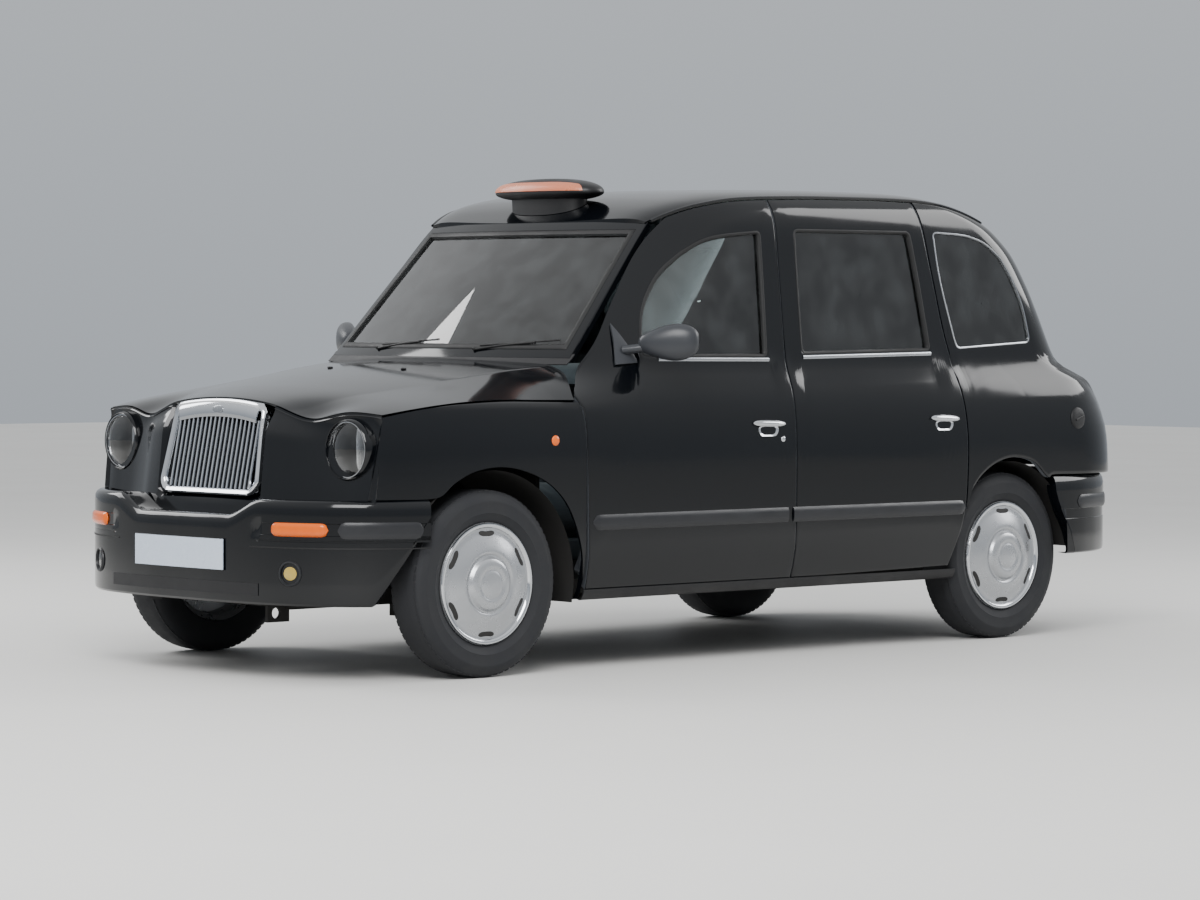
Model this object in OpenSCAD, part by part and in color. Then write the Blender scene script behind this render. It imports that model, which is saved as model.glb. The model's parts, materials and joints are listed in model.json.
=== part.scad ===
// Purpose-built city taxi cab: four-door saloon with a hollow cabin, hinged doors, bonnet and boot lid.
// Millimetres. The cab faces -Y, its left side is +X, the ground is Z = 0.
// Lengthwise shapes are written from the front axle, then moved so that the bumpers are equally far from Y = 0.

// Sub-part to draw, or all

/* [Overall] */
// Distance between the axles
wheelbase = 2886; // [2400:1:3300]
// Width of the bodywork over the door skins
body_width = 1780; // [1500:1:2100]
// Height of the roof above the ground
body_height = 1836; // [1600:1:2200]
// Front bumper face to front axle
front_overhang = 745; // [700:1:800]
// Rear bumper face to rear axle
rear_overhang = 944; // [900:1:1000]

/* [Wheels] */
// Outside diameter of a tyre
tyre_diameter = 686; // [600:1:720]
// Width of a tyre
tyre_width = 175; // [145:1:195]
// Diameter of the rim flange
rim_diameter = 440; // [380:1:470]
// Front tyre centre to the middle plane of the cab
half_track = 782; // [700:1:800]
// Rear tyre centre to the middle plane of the cab
rear_half_track = 762; // [700:1:775]
// Kingpin to the middle plane of the cab
kingpin_x = 690; // [640:1:700]

/* [Panels] */
// Depth of a door below its window
door_depth = 105; // [80:1:125]
// Depth of a door frame around its window
frame_depth = 44; // [30:1:48]
// Depth of the bonnet
bonnet_depth = 24; // [12:1:35]
// Depth of the boot lid
boot_depth = 36; // [20:1:45]
// Thickness of the roof with its lining
roof_depth = 30; // [15:1:45]
// Thickness of the window glass
glass = 5; // [3:0.5:8]

/* [Inside] */
// Height of the cabin floor
floor_z = 335; // [310:1:380]
// Thickness of the floor
floor_depth = 25; // [12:1:40]
// Outside diameter of the steering wheel
steering_wheel_diameter = 400; // [340:1:430]

/* [Hidden] */
kx = body_width / 1780;
kl = wheelbase / 2886;
kz = body_height / 1836;
length = front_overhang + wheelbase + rear_overhang;
mid_y = length / 2 - front_overhang;
hub_z = tyre_diameter / 2;
black = [0.07, 0.07, 0.08];
dark = [0.16, 0.16, 0.17];
silver = [0.72, 0.73, 0.75];
pane = [0.55, 0.68, 0.70, 0.45];
$fn = 64;

// ---- curves ----
function clamp(v, a = 0, b = 1) = min(b, max(a, v));
function smooth(a, b, v) = let(u = clamp((v - a) / (b - a))) u * u * (3 - 2 * u);
function seg(t, v, i = 0) = (i >= len(t) - 2 || v < t[i + 1][0]) ? i : seg(t, v, i + 1);
function slope(t, j) =
  let(a = max(0, j - 1), b = min(len(t) - 1, j + 1)) (t[b][1] - t[a][1]) / (t[b][0] - t[a][0]);
function spl(t, v) =
  let(i = seg(t, v), h = t[i + 1][0] - t[i][0], u = clamp((v - t[i][0]) / h))
  t[i][1] * (1 + 2 * u) * pow(1 - u, 2) + t[i + 1][1] * u * u * (3 - 2 * u)
  + h * slope(t, i) * u * pow(1 - u, 2) - h * slope(t, i + 1) * u * u * (1 - u);
function mix(a, b, t) = a + (b - a) * t;
function mixl(A, B, t) = [for (i = [0:len(A) - 1]) mix(A[i], B[i], t)];
function runs(P) = [for (i = 0, a = 0; i < len(P); a = i < len(P) - 1 ? a + norm(P[i + 1] - P[i]) : a, i = i + 1) a];
function spread(P, n, last = false) =
  let(L = runs(P), idx = [for (i = [0:len(P) - 1]) [L[i], i]], m = last ? n - 1 : n)
  [for (k = [0:n - 1]) let(f = lookup(L[len(L) - 1] * k / m, idx), i = min(floor(f), len(P) - 2))
    mix(P[i], P[i + 1], f - i)];
function turn(L, i) = let(n = len(L), t = L[(i + 1) % n] - L[(i + n - 1) % n]) [-t[1], t[0]] / max(0.01, norm(t));
function inset(L, a, b, z0 = 1000, z1 = 1150) =
  [for (i = [0:len(L) - 1]) L[i] + turn(L, i) * mix(a, b, smooth(z0, z1, L[i][1]))];

// ---- body side: half width against height, drawn in along its length and wrapped round the tail ----
half_width = [
  [200, 812], [245, 830], [300, 858], [360, 874], [420, 886], [470, 889], [600, 890], [750, 890], [860, 888],
  [950, 881], [1010, 871], [1060, 857], [1100, 842], [1130, 833], [1160, 829], [1250, 820.5], [1400, 806],
  [1550, 791], [1650, 781], [1700, 772], [1750, 752], [1785, 726], [1800, 710], [1815, 680]
];
nose_draw = [[-700, 330], [-600, 200], [-500, 110], [-400, 62], [-268, 32], [-100, 12], [100, 2], [300, 0], [500, 0]];
screen_draw = [
  [500, 230], [560, 175], [587, 150], [640, 105], [700, 68], [770, 38], [850, 18], [950, 6], [1100, 0], [1300, 0]
];
tail_line = [
  [250, 3690], [330, 3735], [450, 3765], [600, 3778], [722, 3780], [871, 3759], [957, 3718], [1020, 3668],
  [1060, 3620], [1085, 3560], [1105, 3480], [1130, 3400], [1160, 3370], [1231, 3329], [1356, 3269], [1460, 3216],
  [1580, 3138], [1650, 3062], [1705, 2982], [1750, 2880], [1790, 2750], [1815, 2600]
];
tail_radius = [[250, 430], [900, 430], [1000, 400], [1090, 320], [1150, 250], [1700, 250], [1815, 250]];
roof_line = [
  [940, 1672], [1000, 1705], [1100, 1752], [1217, 1788], [1400, 1817], [1700, 1831], [2000, 1836], [2400, 1836],
  [2600, 1822], [2750, 1792], [2880, 1748], [2982, 1703], [3060, 1655]
];
roof_drop = 36;
bonnet_rear = [
  [0, 425], [0.23, 440], [0.46, 470], [0.635, 498], [0.75, 514], [0.83, 510], [0.87, 490], [0.93, 458], [0.98, 432],
  [1, 426]
];

function side(s, z) =
  let(w = 1 - smooth(980, 1150, z))
  spl(half_width, z) - spl(nose_draw, s) * w - spl(screen_draw, s - 0.9 * (z - 1189)) * (1 - w);
function wrap(q, z) =
  let(r = spl(tail_radius, z), c = spl(tail_line, z) - r, a = (q - c) / r * 180 / PI)
  a <= 0 ? [side(q, z), q, z]
  : a <= 90 ? [side(c, z) - r + r * cos(a), c + r * sin(a), z]
  : [side(c, z) - r - (a - 90) / 180 * PI * r, c + r, z];
function wrap_at(x, z) =
  let(r = spl(tail_radius, z), c = spl(tail_line, z) - r, e = side(c, z) - r)
  c + (x >= e ? r * acos(clamp((x - e) / r)) * PI / 180 : r * PI / 2 + e - x);
function skin(q, z, d) =
  let(p = wrap(q, z), n = cross(wrap(q + 3, z) - p, wrap(q, z + 3) - p)) p - d * n / norm(n);
function roof_edge_z(s) = spl(roof_line, s) - roof_drop;
function roof_edge_x(s) = wrap(s, roof_edge_z(s))[0];
function tail_x(s, z) =
  let(r = spl(tail_radius, z), c = spl(tail_line, z) - r, d = clamp(s - c, 0, r))
  side(min(s, c), z) - r + sqrt(r * r - d * d);
function roof_z(s, x) =
  let(e = tail_x(s, roof_edge_z(s)), u = abs(x) / e)
  spl(roof_line, s) - 14 * u * u - (roof_drop - 14) * pow(u, 12);
function tail_s(x, z) =
  let(r = spl(tail_radius, z), c = spl(tail_line, z) - r, e = side(c, z) - r, d = clamp(abs(x) - e, 0, r))
  c + sqrt(r * r - d * d);

// ---- bonnet ----
bonnet_mid = [
  [-600, 985], [-560, 1006], [-480, 1024], [-336, 1048], [-208, 1066], [0, 1096], [292, 1138], [474, 1160], [520, 1166]
];
bonnet_fold = [[-600, 300], [-503, 380], [-208, 500], [292, 600], [520, 630]];
bonnet_side = [[-560, 930], [-470, 956], [-300, 985], [-118, 1003], [70, 1010], [260, 1008], [440, 1006], [520, 1004]];
function bonnet_half(s) = wrap(s, spl(bonnet_side, s))[0];
function bonnet_z(s, x) =
  let(a = abs(x), f = spl(bonnet_fold, s), h = max(f + 60, bonnet_half(s)), top = spl(bonnet_mid, s),
      k = top - 30, e = spl(bonnet_side, s), t = clamp((a - f) / (h - f)),
      dip = 40 * exp(-pow((a - 480) / 120, 2)) * exp(-pow((s + 520) / 110, 2)))
  (a < f ? top - 30 * pow(a / f, 2) : k - (k - e) * (0.62 * t + 0.38 * t * t * t)) - dip;

function bonnet_drop(s) = mix(0.25, 1, smooth(-520, -380, s)) * bonnet_depth;

// ---- windscreen plane: curved in plan, leaning back ----
function screen_s(x, z) = 440 + (z - 1165) * 0.998 + (123 - (z - 1189) * 0.06) * pow(x / 677, 2);
function screen(x, z, d) = [x, screen_s(x, z) + 0.72 * d, z - 0.69 * d];

// ---- outlines: distance behind the front axle, height ----
door_f_bottom = [[490, 300], [1590, 299]];
door_f_rear = [[1590, 299], [1590, 606], [1590, 840], [1590, 996], [1588, 1105], [1582, 1180], [1576, 1400], [1573, 1600], [1570, roof_edge_z(1570) - 14]];
door_f_top = [for (s = [1570, 1480, 1390, 1300, 1220, 1150, 1090]) [s, roof_edge_z(s) - 14]];
door_f_front = [
  [1090, roof_edge_z(1090) - 14], [1000, 1626], [904, 1525], [772, 1360], [655, 1209], [520, 1082], [452, 1032],
  [440, 1012], [461, 975], [470, 900], [473, 821], [480, 636], [486, 413], [490, 300]
];
door_r_bottom = [[1599, 300], [2514, 316]];
door_r_rear = [
  [2514, 316], [2540, 398], [2580, 499], [2597, 600], [2602, 730], [2602, 824], [2592, 946], [2578, 1048], [2560, 1141],
  [2520, 1271], [2478, 1474], [2436, 1680], [2420, roof_edge_z(2420) - 14]
];
door_r_top = [for (s = [2420, 2200, 2000, 1800, 1585]) [s, roof_edge_z(s) - 14]];
door_r_front = [[1585, roof_edge_z(1585) - 14], [1586, 1600], [1588, 1400], [1592, 1180], [1597, 1105], [1599, 996], [1599, 840], [1599, 606], [1599, 300]];
win_f_bottom = [[838, 1172], [860, 1168], [1470, 1166]];
win_f_rear = [[1470, 1166], [1482, 1172], [1486, 1190], [1490, 1630], [1486, 1646], [1474, 1652]];
win_f_top = [[1474, 1652], [1281, 1634], [1185, 1611], [1089, 1565]];
win_f_front = [[1089, 1565], [1000, 1503], [934, 1437], [869, 1342], [833, 1240], [824, 1188], [838, 1172]];
win_r_bottom = [[1696, 1176], [2420, 1188]];
win_r_rear = [[2420, 1188], [2434, 1196], [2436, 1212], [2362, 1652], [2340, 1668]];
win_r_top = [[2340, 1668], [1700, 1664]];
win_r_front = [[1700, 1664], [1684, 1658], [1680, 1646], [1682, 1194], [1696, 1176]];
quarter_bottom = [
  [2616, 575], [2640, 630], [2709, 692], [2802, 735], [2900, 749], [3020, 728], [3115, 660],
  [3135, 672], [3300, 672], [3500, 672], [3700, 672], [3882, 672]
];
function edge_x(z) = mix(600, 612, smooth(1130, 1165, z)) + 38 * smooth(1500, 1680, z);
function rear_edge(z) = [wrap_at(edge_x(z), z), z];
quarter_rear = [for (z = [672, 760, 870, 957, 1020, 1060, 1085, 1105, 1130, 1160, 1231, 1356, 1460, 1580, 1640]) rear_edge(z)];
quarter_top = concat([rear_edge(1655)], [for (s = [2950, 2880, 2750, 2600, 2434]) [s, roof_edge_z(s) - 0.5]]);
quarter_front = [
  [2434, roof_edge_z(2434) - 0.5], [2445, 1690], [2488, 1474], [2532, 1271], [2572, 1141], [2590, 1048], [2604, 946],
  [2614, 824], [2615, 730], [2613, 640], [2613, 595], [2616, 575]
];
win_q_bottom = [[2622, 1199], [3040, 1222]];
win_q_rear = [[3040, 1222], [3056, 1232], [3058, 1250], [3029, 1376], [2977, 1480], [2910, 1570]];
win_q_top = [[2910, 1570], [2820, 1626], [2730, 1652], [2669, 1660], [2520, 1666]];
win_q_front = [[2520, 1666], [2506, 1660], [2502, 1648], [2526, 1474], [2580, 1271], [2596, 1222], [2606, 1204], [2622, 1199]];

function loop(b, r, t, f, n) = concat(spread(b, n[0]), spread(r, n[1]), spread(t, n[2]), spread(f, n[3]));
count_f = [12, 9, 9, 15];
count_r = [12, 11, 9, 10];
count_q = [18, 14, 8, 12];
door_f = loop(door_f_bottom, door_f_rear, door_f_top, door_f_front, count_f);
door_r = loop(door_r_bottom, door_r_rear, door_r_top, door_r_front, count_r);
win_f = loop(win_f_bottom, win_f_rear, win_f_top, win_f_front, count_f);
win_r = loop(win_r_bottom, win_r_rear, win_r_top, win_r_front, count_r);
// The rear quarter is meshed by the share of the way from its front to its rear edge at each height.
function share(L) = [for (p = L) [(p[0] - 2430) / (rear_edge(p[1])[0] - 2430), p[1]]];
function unshare(L) = [for (p = L) [2430 + p[0] * (rear_edge(p[1])[0] - 2430), p[1]]];
quarter = loop(quarter_bottom, quarter_rear, quarter_top, quarter_front, count_q);
win_q = loop(win_q_bottom, win_q_rear, win_q_top, win_q_front, count_q);

// ---- placing ----
function place(p, m = 1) = [m * p[0] * kx, p[1] * kl - mid_y, p[2] * kz];
function Y(s) = s * kl - mid_y;
module put(x, s, z) {
  translate([x * kx, s * kl - mid_y, z * kz]) children();
}
module block(x0, x1, s0, s1, z0, z1) {
  translate([x0 * kx, Y(s0), z0 * kz]) cube([(x1 - x0) * kx, (s1 - s0) * kl, (z1 - z0) * kz]);
}
module both() {
  children();
  mirror([1, 0, 0]) children();
}

// ---- nets: closed solids from rows of points, faces turned outward by the sign of the volume ----
function quad(a, b, c, d) = [[a, b, c], [a, c, d]];
module net(P, F) {
  v = [for (f = F) cross(P[f[0]], P[f[1]]) * P[f[2]]] * [for (f = F) 1];
  polyhedron(P, v > 0 ? [for (f = F) [f[0], f[2], f[1]]] : F, convexity = 8);
}
module ring_net(rows, m = 1) {
  n = len(rows[0]);
  r = len(rows);
  net(
    [for (row = rows) each [for (p = row) place(p, m)]],
    [for (j = [0:r - 1]) each [for (i = [0:n - 1])
      let(k = (i + 1) % n, l = (j + 1) % r) each quad(j * n + i, j * n + k, l * n + k, l * n + i)]]
  );
}
module slab_net(A, B, m = 1) {
  r = len(A);
  c = len(A[0]);
  h = r * c;
  net(
    [for (row = concat(A, B)) each [for (p = row) place(p, m)]],
    concat(
      [for (j = [0:r - 2]) each [for (i = [0:c - 2]) let(a = j * c + i) each quad(a, a + 1, a + c + 1, a + c)]],
      [for (j = [0:r - 2]) each [for (i = [0:c - 2]) let(a = h + j * c + i) each quad(a, a + c, a + c + 1, a + 1)]],
      [for (i = [0:c - 2]) each quad(i + 1, i, h + i, h + i + 1)],
      [for (i = [0:c - 2]) let(a = (r - 1) * c + i) each quad(a, a + 1, h + a + 1, h + a)],
      [for (j = [0:r - 2]) let(a = j * c) each quad(a, a + c, h + a + c, h + a)],
      [for (j = [0:r - 2]) let(a = j * c + c - 1) each quad(a + c, a, h + a, h + a + c)]
    )
  );
}
module loft_net(secs, m = 1) {
  n = len(secs[0]);
  r = len(secs);
  b = (r - 1) * n;
  ends = [for (s = [secs[0], secs[r - 1]]) [for (k = [0:2]) [for (p = s) p[k]] * [for (p = s) 1 / n]]];
  net(
    [for (s = concat(secs, [ends])) each [for (p = s) place(p, m)]],
    concat(
      [for (j = [0:r - 2]) each [for (i = [0:n - 1])
        let(k = (i + 1) % n) each quad(j * n + i, j * n + k, j * n + n + k, j * n + n + i)]],
      [for (i = [0:n - 1]) [(i + 1) % n, i, r * n]],
      [for (i = [0:n - 1]) [b + i, b + (i + 1) % n, r * n + 1]]
    )
  );
}
function on_skin(L, d) = [for (p = L) skin(p[0], p[1], d)];
function deep_skin(L, a, b) = [for (p = L) skin(p[0], p[1], mix(a, b, smooth(1000, 1150, p[1])))];
function centre(L) = [for (k = [0:1]) [for (p = L) p[k]] * [for (p = L) 1 / len(L)]];

// A door: skin, edge, rebate, deep lower part, window opening.
module door_net(out, win, m) {
  steps = [0, 0.06, 0.14, 0.3, 0.55, 0.78, 0.9, 1];
  rim = inset(out, 48, 13);
  ring_net(concat(
    [for (t = steps) on_skin(mixl(out, win, t), 0)],
    [on_skin(win, frame_depth),
     deep_skin(mixl(out, win, 0.72), door_depth, frame_depth),
     deep_skin(rim, door_depth, frame_depth),
     deep_skin(rim, 28, 28),
     on_skin(inset(out, 4, 6), 28)]
  ), m);
}
module pane_net(win, m, d0) {
  L = inset(win, 0.3, 0.3);
  c = centre(L);
  rows = [for (t = [0, 0.5, 0.985]) [for (p = L) mix(p, c, t)]];
  ring_net(concat([for (r = rows) on_skin(r, d0)], [for (i = [2, 1, 0]) on_skin(rows[i], d0 + glass)]), m);
}

// ---- body panels ----
module roof_panel() {
  us = [-1, -0.95, -0.88, -0.75, -0.5, -0.25, 0, 0.25, 0.5, 0.75, 0.88, 0.95, 1];
  vs = [0, 0.03, 0.07, 0.13, 0.2, 0.3, 0.42, 0.55, 0.68, 0.78, 0.86, 0.93, 1];
  function at(u, v, under) =
    let(s = mix(962 + 62 * u * u, 2996 - 45 * u * u, v), e = tail_x(s, roof_edge_z(s)), x = u * (e - under * 8),
        d = under * mix(roof_depth, 8, smooth(0.86, 1, abs(u))))
    [x, s, roof_z(s, u * e) - d];
  color(black) slab_net([for (v = vs) [for (u = us) at(u, v, 0)]], [for (v = vs) [for (u = us) at(u, v, 1)]]);
}

module screen_ring() {
  function half(z) = mix(672, 612, (z - 1189) / (1645 - 1189));
  function edge(e, zb, zt) = concat(
    [for (k = [0:9]) let(x = mix(-1, 1, k / 10)) [x * (half(zb) + e), zb]],
    [for (k = [0:7]) let(z = mix(zb, zt - 10, k / 8)) [half(z) + e, z]],
    [for (k = [0:9]) let(x = mix(1, -1, k / 10)) [x * (half(zt) + e), zt - 10 * x * x]],
    [for (k = [0:7]) let(z = mix(zt - 10, zb, k / 8)) [-half(z) - e, z]]
  );
  out = edge(14, 1172, 1676);
  win = edge(-30, 1202, 1650);
  ring_net([for (d = [0, 30]) each (d == 0
    ? [[for (p = out) screen(p[0], p[1], 0)], [for (p = win) screen(p[0], p[1], 0)]]
    : [[for (p = win) screen(p[0], p[1], 30)], [for (p = out) screen(p[0], p[1], 30)]])]);
}

// Scuttle: a channel under the rear edge of the bonnet, rising to the foot of the windscreen.
module scuttle() {
  us = [-0.975, -0.93, -0.87, -0.83, -0.79, -0.6, -0.4, -0.2, 0, 0.2, 0.4, 0.6, 0.79, 0.83, 0.87, 0.93, 0.975];
  function low(u, ds) =
    let(s = spl(bonnet_rear, abs(u)), x = u * bonnet_half(s)) [x, s + ds, bonnet_z(s, x) - bonnet_depth - 11 - 52 * smooth(0.6, 0.8, abs(u))];
  function rise(u) = let(x = u / 0.79 * 684) abs(u) < 0.8 ? [x, screen_s(x, 1174), 1174] : low(u, 24);
  rows = [[for (u = us) low(u, -24)], [for (u = us) low(u, 9)], [for (u = us) rise(u)]];
  slab_net(rows, [for (r = rows) [for (p = r) p + [0, 8, -8]]]);
}

// Posts, pillars, cant rails, sills and windscreen surround behind the doors.
function crosswise(t) = let(a = cross(t, [0, 0, 1]), b = abs(t[2]) > 0.9 ? cross(t, [0, 1, 0]) : a) b / norm(b);
module tube_net(P, r) {
  loft_net([for (i = [0:len(P) - 1])
    let(t = P[min(i + 1, len(P) - 1)] - P[max(i - 1, 0)], w = t / norm(t), a = crosswise(w), b = cross(w, a))
    [for (k = [0:7]) P[i] + r * (cos(k * 45) * a + sin(k * 45) * b)]]);
}
module post(pts, w, d0, d1) {
  A = [for (p = pts) [skin(p[0] - w / 2, p[1], d0), skin(p[0] + w / 2, p[1], d0)]];
  B = [for (p = pts) [skin(p[0] - w / 2, p[1], d1), skin(p[0] + w / 2, p[1], d1)]];
  slab_net(A, B, 1);
}
module body_frame() {
  frame_d = frame_depth + 9;
  color(black) {
    screen_ring();
    scuttle();
    both() {
      post([[1597, 320], [1597, 500], [1597, 700], [1597, 900], [1596, 1010]], 66, 38, 120);
      post([[1594, 985], [1593, 1100], [1589, 1250], [1584, 1450], [1580, 1620], [1579, 1690]], 30, frame_d, 120);
      post([[2586, 700], [2590, 800], [2590, 900], [2585, 1010]], 26, 60, 130);
      post([[2588, 980], [2582, 1060], [2573, 1110], [2562, 1141], [2516, 1271], [2472, 1474], [2432, 1660], [2424, 1690]],
        34, frame_d, 120);
      post([[484, 320], [484, 500], [484, 700], [484, 850], [484, 955]], 46, 38, 120);
      post([[1573, 720], [1573, 760]], 14, 29, 42);
      post([[1615, 720], [1615, 760]], 14, 29, 42);
      post([[2582, 800], [2582, 840]], 14, 29, 64);
      post([[490, 720], [490, 760]], 12, 29, 42);
      tube_net(concat([for (z = [1200, 1280, 1360, 1440, 1520, 1600, 1670]) screen(640 - (z - 1189) * 0.13, z, 38)],
        [[612, 1120, 1680], [638, 1250, 1690], [654, 1420, 1694], [658, 1600, 1698], [660, 2000, 1700],
         [660, 2445, 1696]]), 16);
      hull() {
        put(786, 430, 262) cube([38 * kx, 8, 58 * kz]);
        put(786, 2496, 276) cube([38 * kx, 8, 58 * kz]);
      }
      slab_net(
        [for (z = [246, 266, 286]) [for (s = [484, 900, 1600, 2100, 2504]) wrap(s, z + (s - 480) * 0.008)]],
        [for (z = [246, 266, 286]) [for (s = [484, 900, 1600, 2100, 2504])
          wrap(s, z + (s - 480) * 0.008) - [50, 0, 0]]]
      );
    }
  }
}

module arch_liner(c, r, x0, x1, a0, a1) {
  function row(r, i) = let(a = mix(a0, a1, i / 14)) [for (x = [x0, x1]) [x, c + r * cos(a), 343 + r * sin(a)]];
  slab_net([for (i = [0:14]) row(r, i)], [for (i = [0:14]) row(r + 6, i)]);
}
module rear_window_ring() {
  out = concat(
    [for (k = [0:11]) [mix(-594, 594, k / 12), 1097]],
    [for (k = [0:7]) let(z = mix(1097, 1697, k / 8)) [edge_x(z) - 6, z]],
    [for (k = [0:11]) [mix(643, -643, k / 12), 1697]],
    [for (k = [0:7]) let(z = mix(1697, 1097, k / 8)) [6 - edge_x(z), z]]
  );
  win = concat(
    [for (k = [0:11]) let(u = mix(-1, 1, k / 12)) [570 * u, 1196 + 10 * u * u * u * u]],
    [for (k = [0:7]) let(u = k / 8) [mix(570, 525, u), mix(1206, 1600, u)]],
    [for (k = [0:11]) let(u = mix(1, -1, k / 12)) [525 * u, 1632 - 32 * pow(u, 4)]],
    [for (k = [0:7]) let(u = k / 8) [-mix(525, 570, u), mix(1600, 1206, u)]]
  );
  function row(L, d) = [for (p = L) [p[0], tail_s(p[0], p[1]) - d * 0.9, p[1] - d * 0.3]];
  ring_net(concat([for (t = [0, 0.3, 0.65, 1]) row(mixl(out, win, t), 0)], [row(win, 28), row(out, 28)]));
}
module rear_body() {
  steps = [0, 0.08, 0.2, 0.36, 0.55, 0.72, 0.86, 0.94, 1];
  color(black) {
    both() {
      ring_net(concat(
        [for (t = steps) on_skin(unshare(mixl(share(quarter), share(win_q), t)), 0)],
        [for (t = [1, 0.72, 0.36, 0]) on_skin(unshare(mixl(share(quarter), share(win_q), t)), 26)]
      ));
      arch_liner(2890, 385, 640, 846, 4, 152);
      hull() {
        put(640, 2494, 340) cube([6, 6, 30]);
        put(640, 3270, 340) cube([6, 6, 30]);
        put(640, 2700, 690) cube([6, 6, 30]);
        put(640, 3060, 690) cube([6, 6, 30]);
      }
    }
    rear_window_ring();
    slab_net(
      [for (p = [[350, 62], [560, 62], [655, 62], [674, 22]])
        [for (k = [0:12]) let(x = mix(-640, 640, k / 12)) [x, tail_s(x, p[0]) - p[1], p[0]]]],
      [for (p = [[350, 82], [560, 82], [655, 82], [674, 42]])
        [for (k = [0:12]) let(x = mix(-640, 640, k / 12)) [x, tail_s(x, p[0]) - p[1], p[0]]]]
    );
    block(-30, 30, 3722, 3780 - boot_depth - 0.8, 600, 704);
  }
}

wing_top = [
  [-452, 950], [-380, 965], [-300, 978], [-200, 989], [-118, 995], [70, 1002], [260, 1000], [400, 998], [430, 998]
];
wing_low = [
  [-500, 657], [-400, 657], [-300, 657], [-255, 660], [-225, 668], [-170, 712], [-81, 752], [35, 767], [155, 750],
  [279, 700], [370, 620], [430, 500], [462, 357], [474, 270]
];
module front_wings() {
  cols = 18;
  top = concat(spread(wing_top, cols - 3), [[441, 985], [447, 968], [455, 950]]);
  low = spread(wing_low, cols, true);
  rows = [0, 0.12, 0.3, 0.5, 0.7, 0.85, 0.94, 1];
  function at(v, i) =
    let(t = top[i], b = low[i], p = mix(b, t, v), e = smooth(cols - 5, cols - 1, i))
    [min(p[0] + 10 * sin(180 * v) * e, 464), p[1]];
  color(black) both() {
    slab_net(
      [for (v = rows) [for (i = [0:cols - 1]) let(p = at(v, i)) skin(p[0], p[1], 0)]],
      [for (v = rows) [for (i = [0:cols - 1]) let(p = at(v, i)) skin(p[0], p[1], 20) - [0, 0, v == 1 ? 26 : 0]]]
    );
    arch_liner(15, 416, 440, 856, -14, 150);
  }
}

module front_panel() {
  plan = [
    [0, -600], [150, -598], [285, -590], [380, -566], [470, -532], [560, -500], [650, -480], [730, -462], [790, -430]
  ];
  color(black) difference() {
    union() {
      both() for (i = [0:len(plan) - 2]) {
        hull() {
          for (p = [plan[i], plan[i + 1]]) {
            top = bonnet_z(p[1] + 20, p[0]) - bonnet_depth - 20;
            put(p[0], p[1] - 30, 600 + 60 * smooth(250, 430, p[0])) cube([1, 24, 10]);
            put(p[0], p[1] + 22, top - 10) cube([1, 24, 10]);
          }
        }
      }
      both() {
        put(667, -452, 834) rotate([90, 0, 0]) cylinder(h = 58, r1 = 104.5, r2 = 104);
      }
    }
    both() {
      put(667, -400, 834) rotate([90, 0, 0]) cylinder(h = 160, r = 101.5);
    }
    grille_outline(0.3, 140);
  }
  color(dark) block(-30, 30, -572, -512, 880, bonnet_z(-538, 30) - bonnet_drop(-538) - 1.7);
}

module grille_outline(e, h) {
  multmatrix([[1, 0, 0, 0], [0, 1, 0.2, Y(-572) - 0.2 * 960 * kz - h / 2], [0, 0, 1, 0]])
    rotate([90, 0, 0]) mirror([0, 0, 1]) linear_extrude(h)
      polygon([for (p = concat(
        [for (a = [0:5]) [(226 + e + 60 * sin(a * 18)) * kx, (716 - e - 60 * cos(a * 18)) * kz]],
        [for (k = [0:8]) let(u = mix(1, -1, k / 8)) [u * (262 + e) * kx, (962 + e + 20 * (1 - u * u)) * kz]],
        [for (a = [5:-1:0]) [-(226 + e + 60 * sin(a * 18)) * kx, (716 - e - 60 * cos(a * 18)) * kz]]
      )) p]);
}
module grille() {
  color(silver) {
    difference() {
      grille_outline(0, 46);
      grille_outline(-22, 60);
    }
    intersection() {
      grille_outline(-11, 26);
      for (k = [-8:8]) {
        put(k * 27.5, -680, 640) translate([-5, 0, 0]) cube([10, 240, 400]);
      }
    }
  }
}

module bonnet() {
  us = [-1, -0.97, -0.93, -0.87, -0.83, -0.76, -0.66, -0.54, -0.4, -0.22, 0,
    0.22, 0.4, 0.54, 0.66, 0.76, 0.83, 0.87, 0.93, 0.97, 1];
  vs = [0, 0.04, 0.1, 0.18, 0.28, 0.4, 0.52, 0.64, 0.76, 0.88, 1];
  front = [[0, -538], [0.35, -536], [0.5, -526], [0.62, -508], [0.74, -492], [0.86, -476], [1, -452]];
  function at(u, v, d) =
    let(s = mix(spl(front, abs(u)), spl(bonnet_rear, abs(u)), v), h = bonnet_half(s), x = u * (h - 1))
    [x * (1 - 34 * d / h), s - 6 * v * d, bonnet_z(s, x) - d * bonnet_drop(s)];
  color(black)
    slab_net([for (v = vs) [for (u = us) at(u, v, 0)]], [for (v = vs) [for (u = us) at(u, v, 1)]]);
}

module boot_lid() {
  zs = [684, 760, 871, 957, 1020, 1050, 1075, 1094];
  function row(z, d) = [for (k = [0:12]) let(x = mix(-588, 588, k / 12), g = (tail_s(x, z + 3) - tail_s(x, z - 3)) / 6)
    [x * (1 - 12 * d / boot_depth / 588), tail_s(x, z) - d / sqrt(1 + g * g), z + d * g / sqrt(1 + g * g)]];
  color(black) slab_net([for (z = zs) row(z, 0)], [for (z = zs) row(z, boot_depth)]);
}

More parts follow.
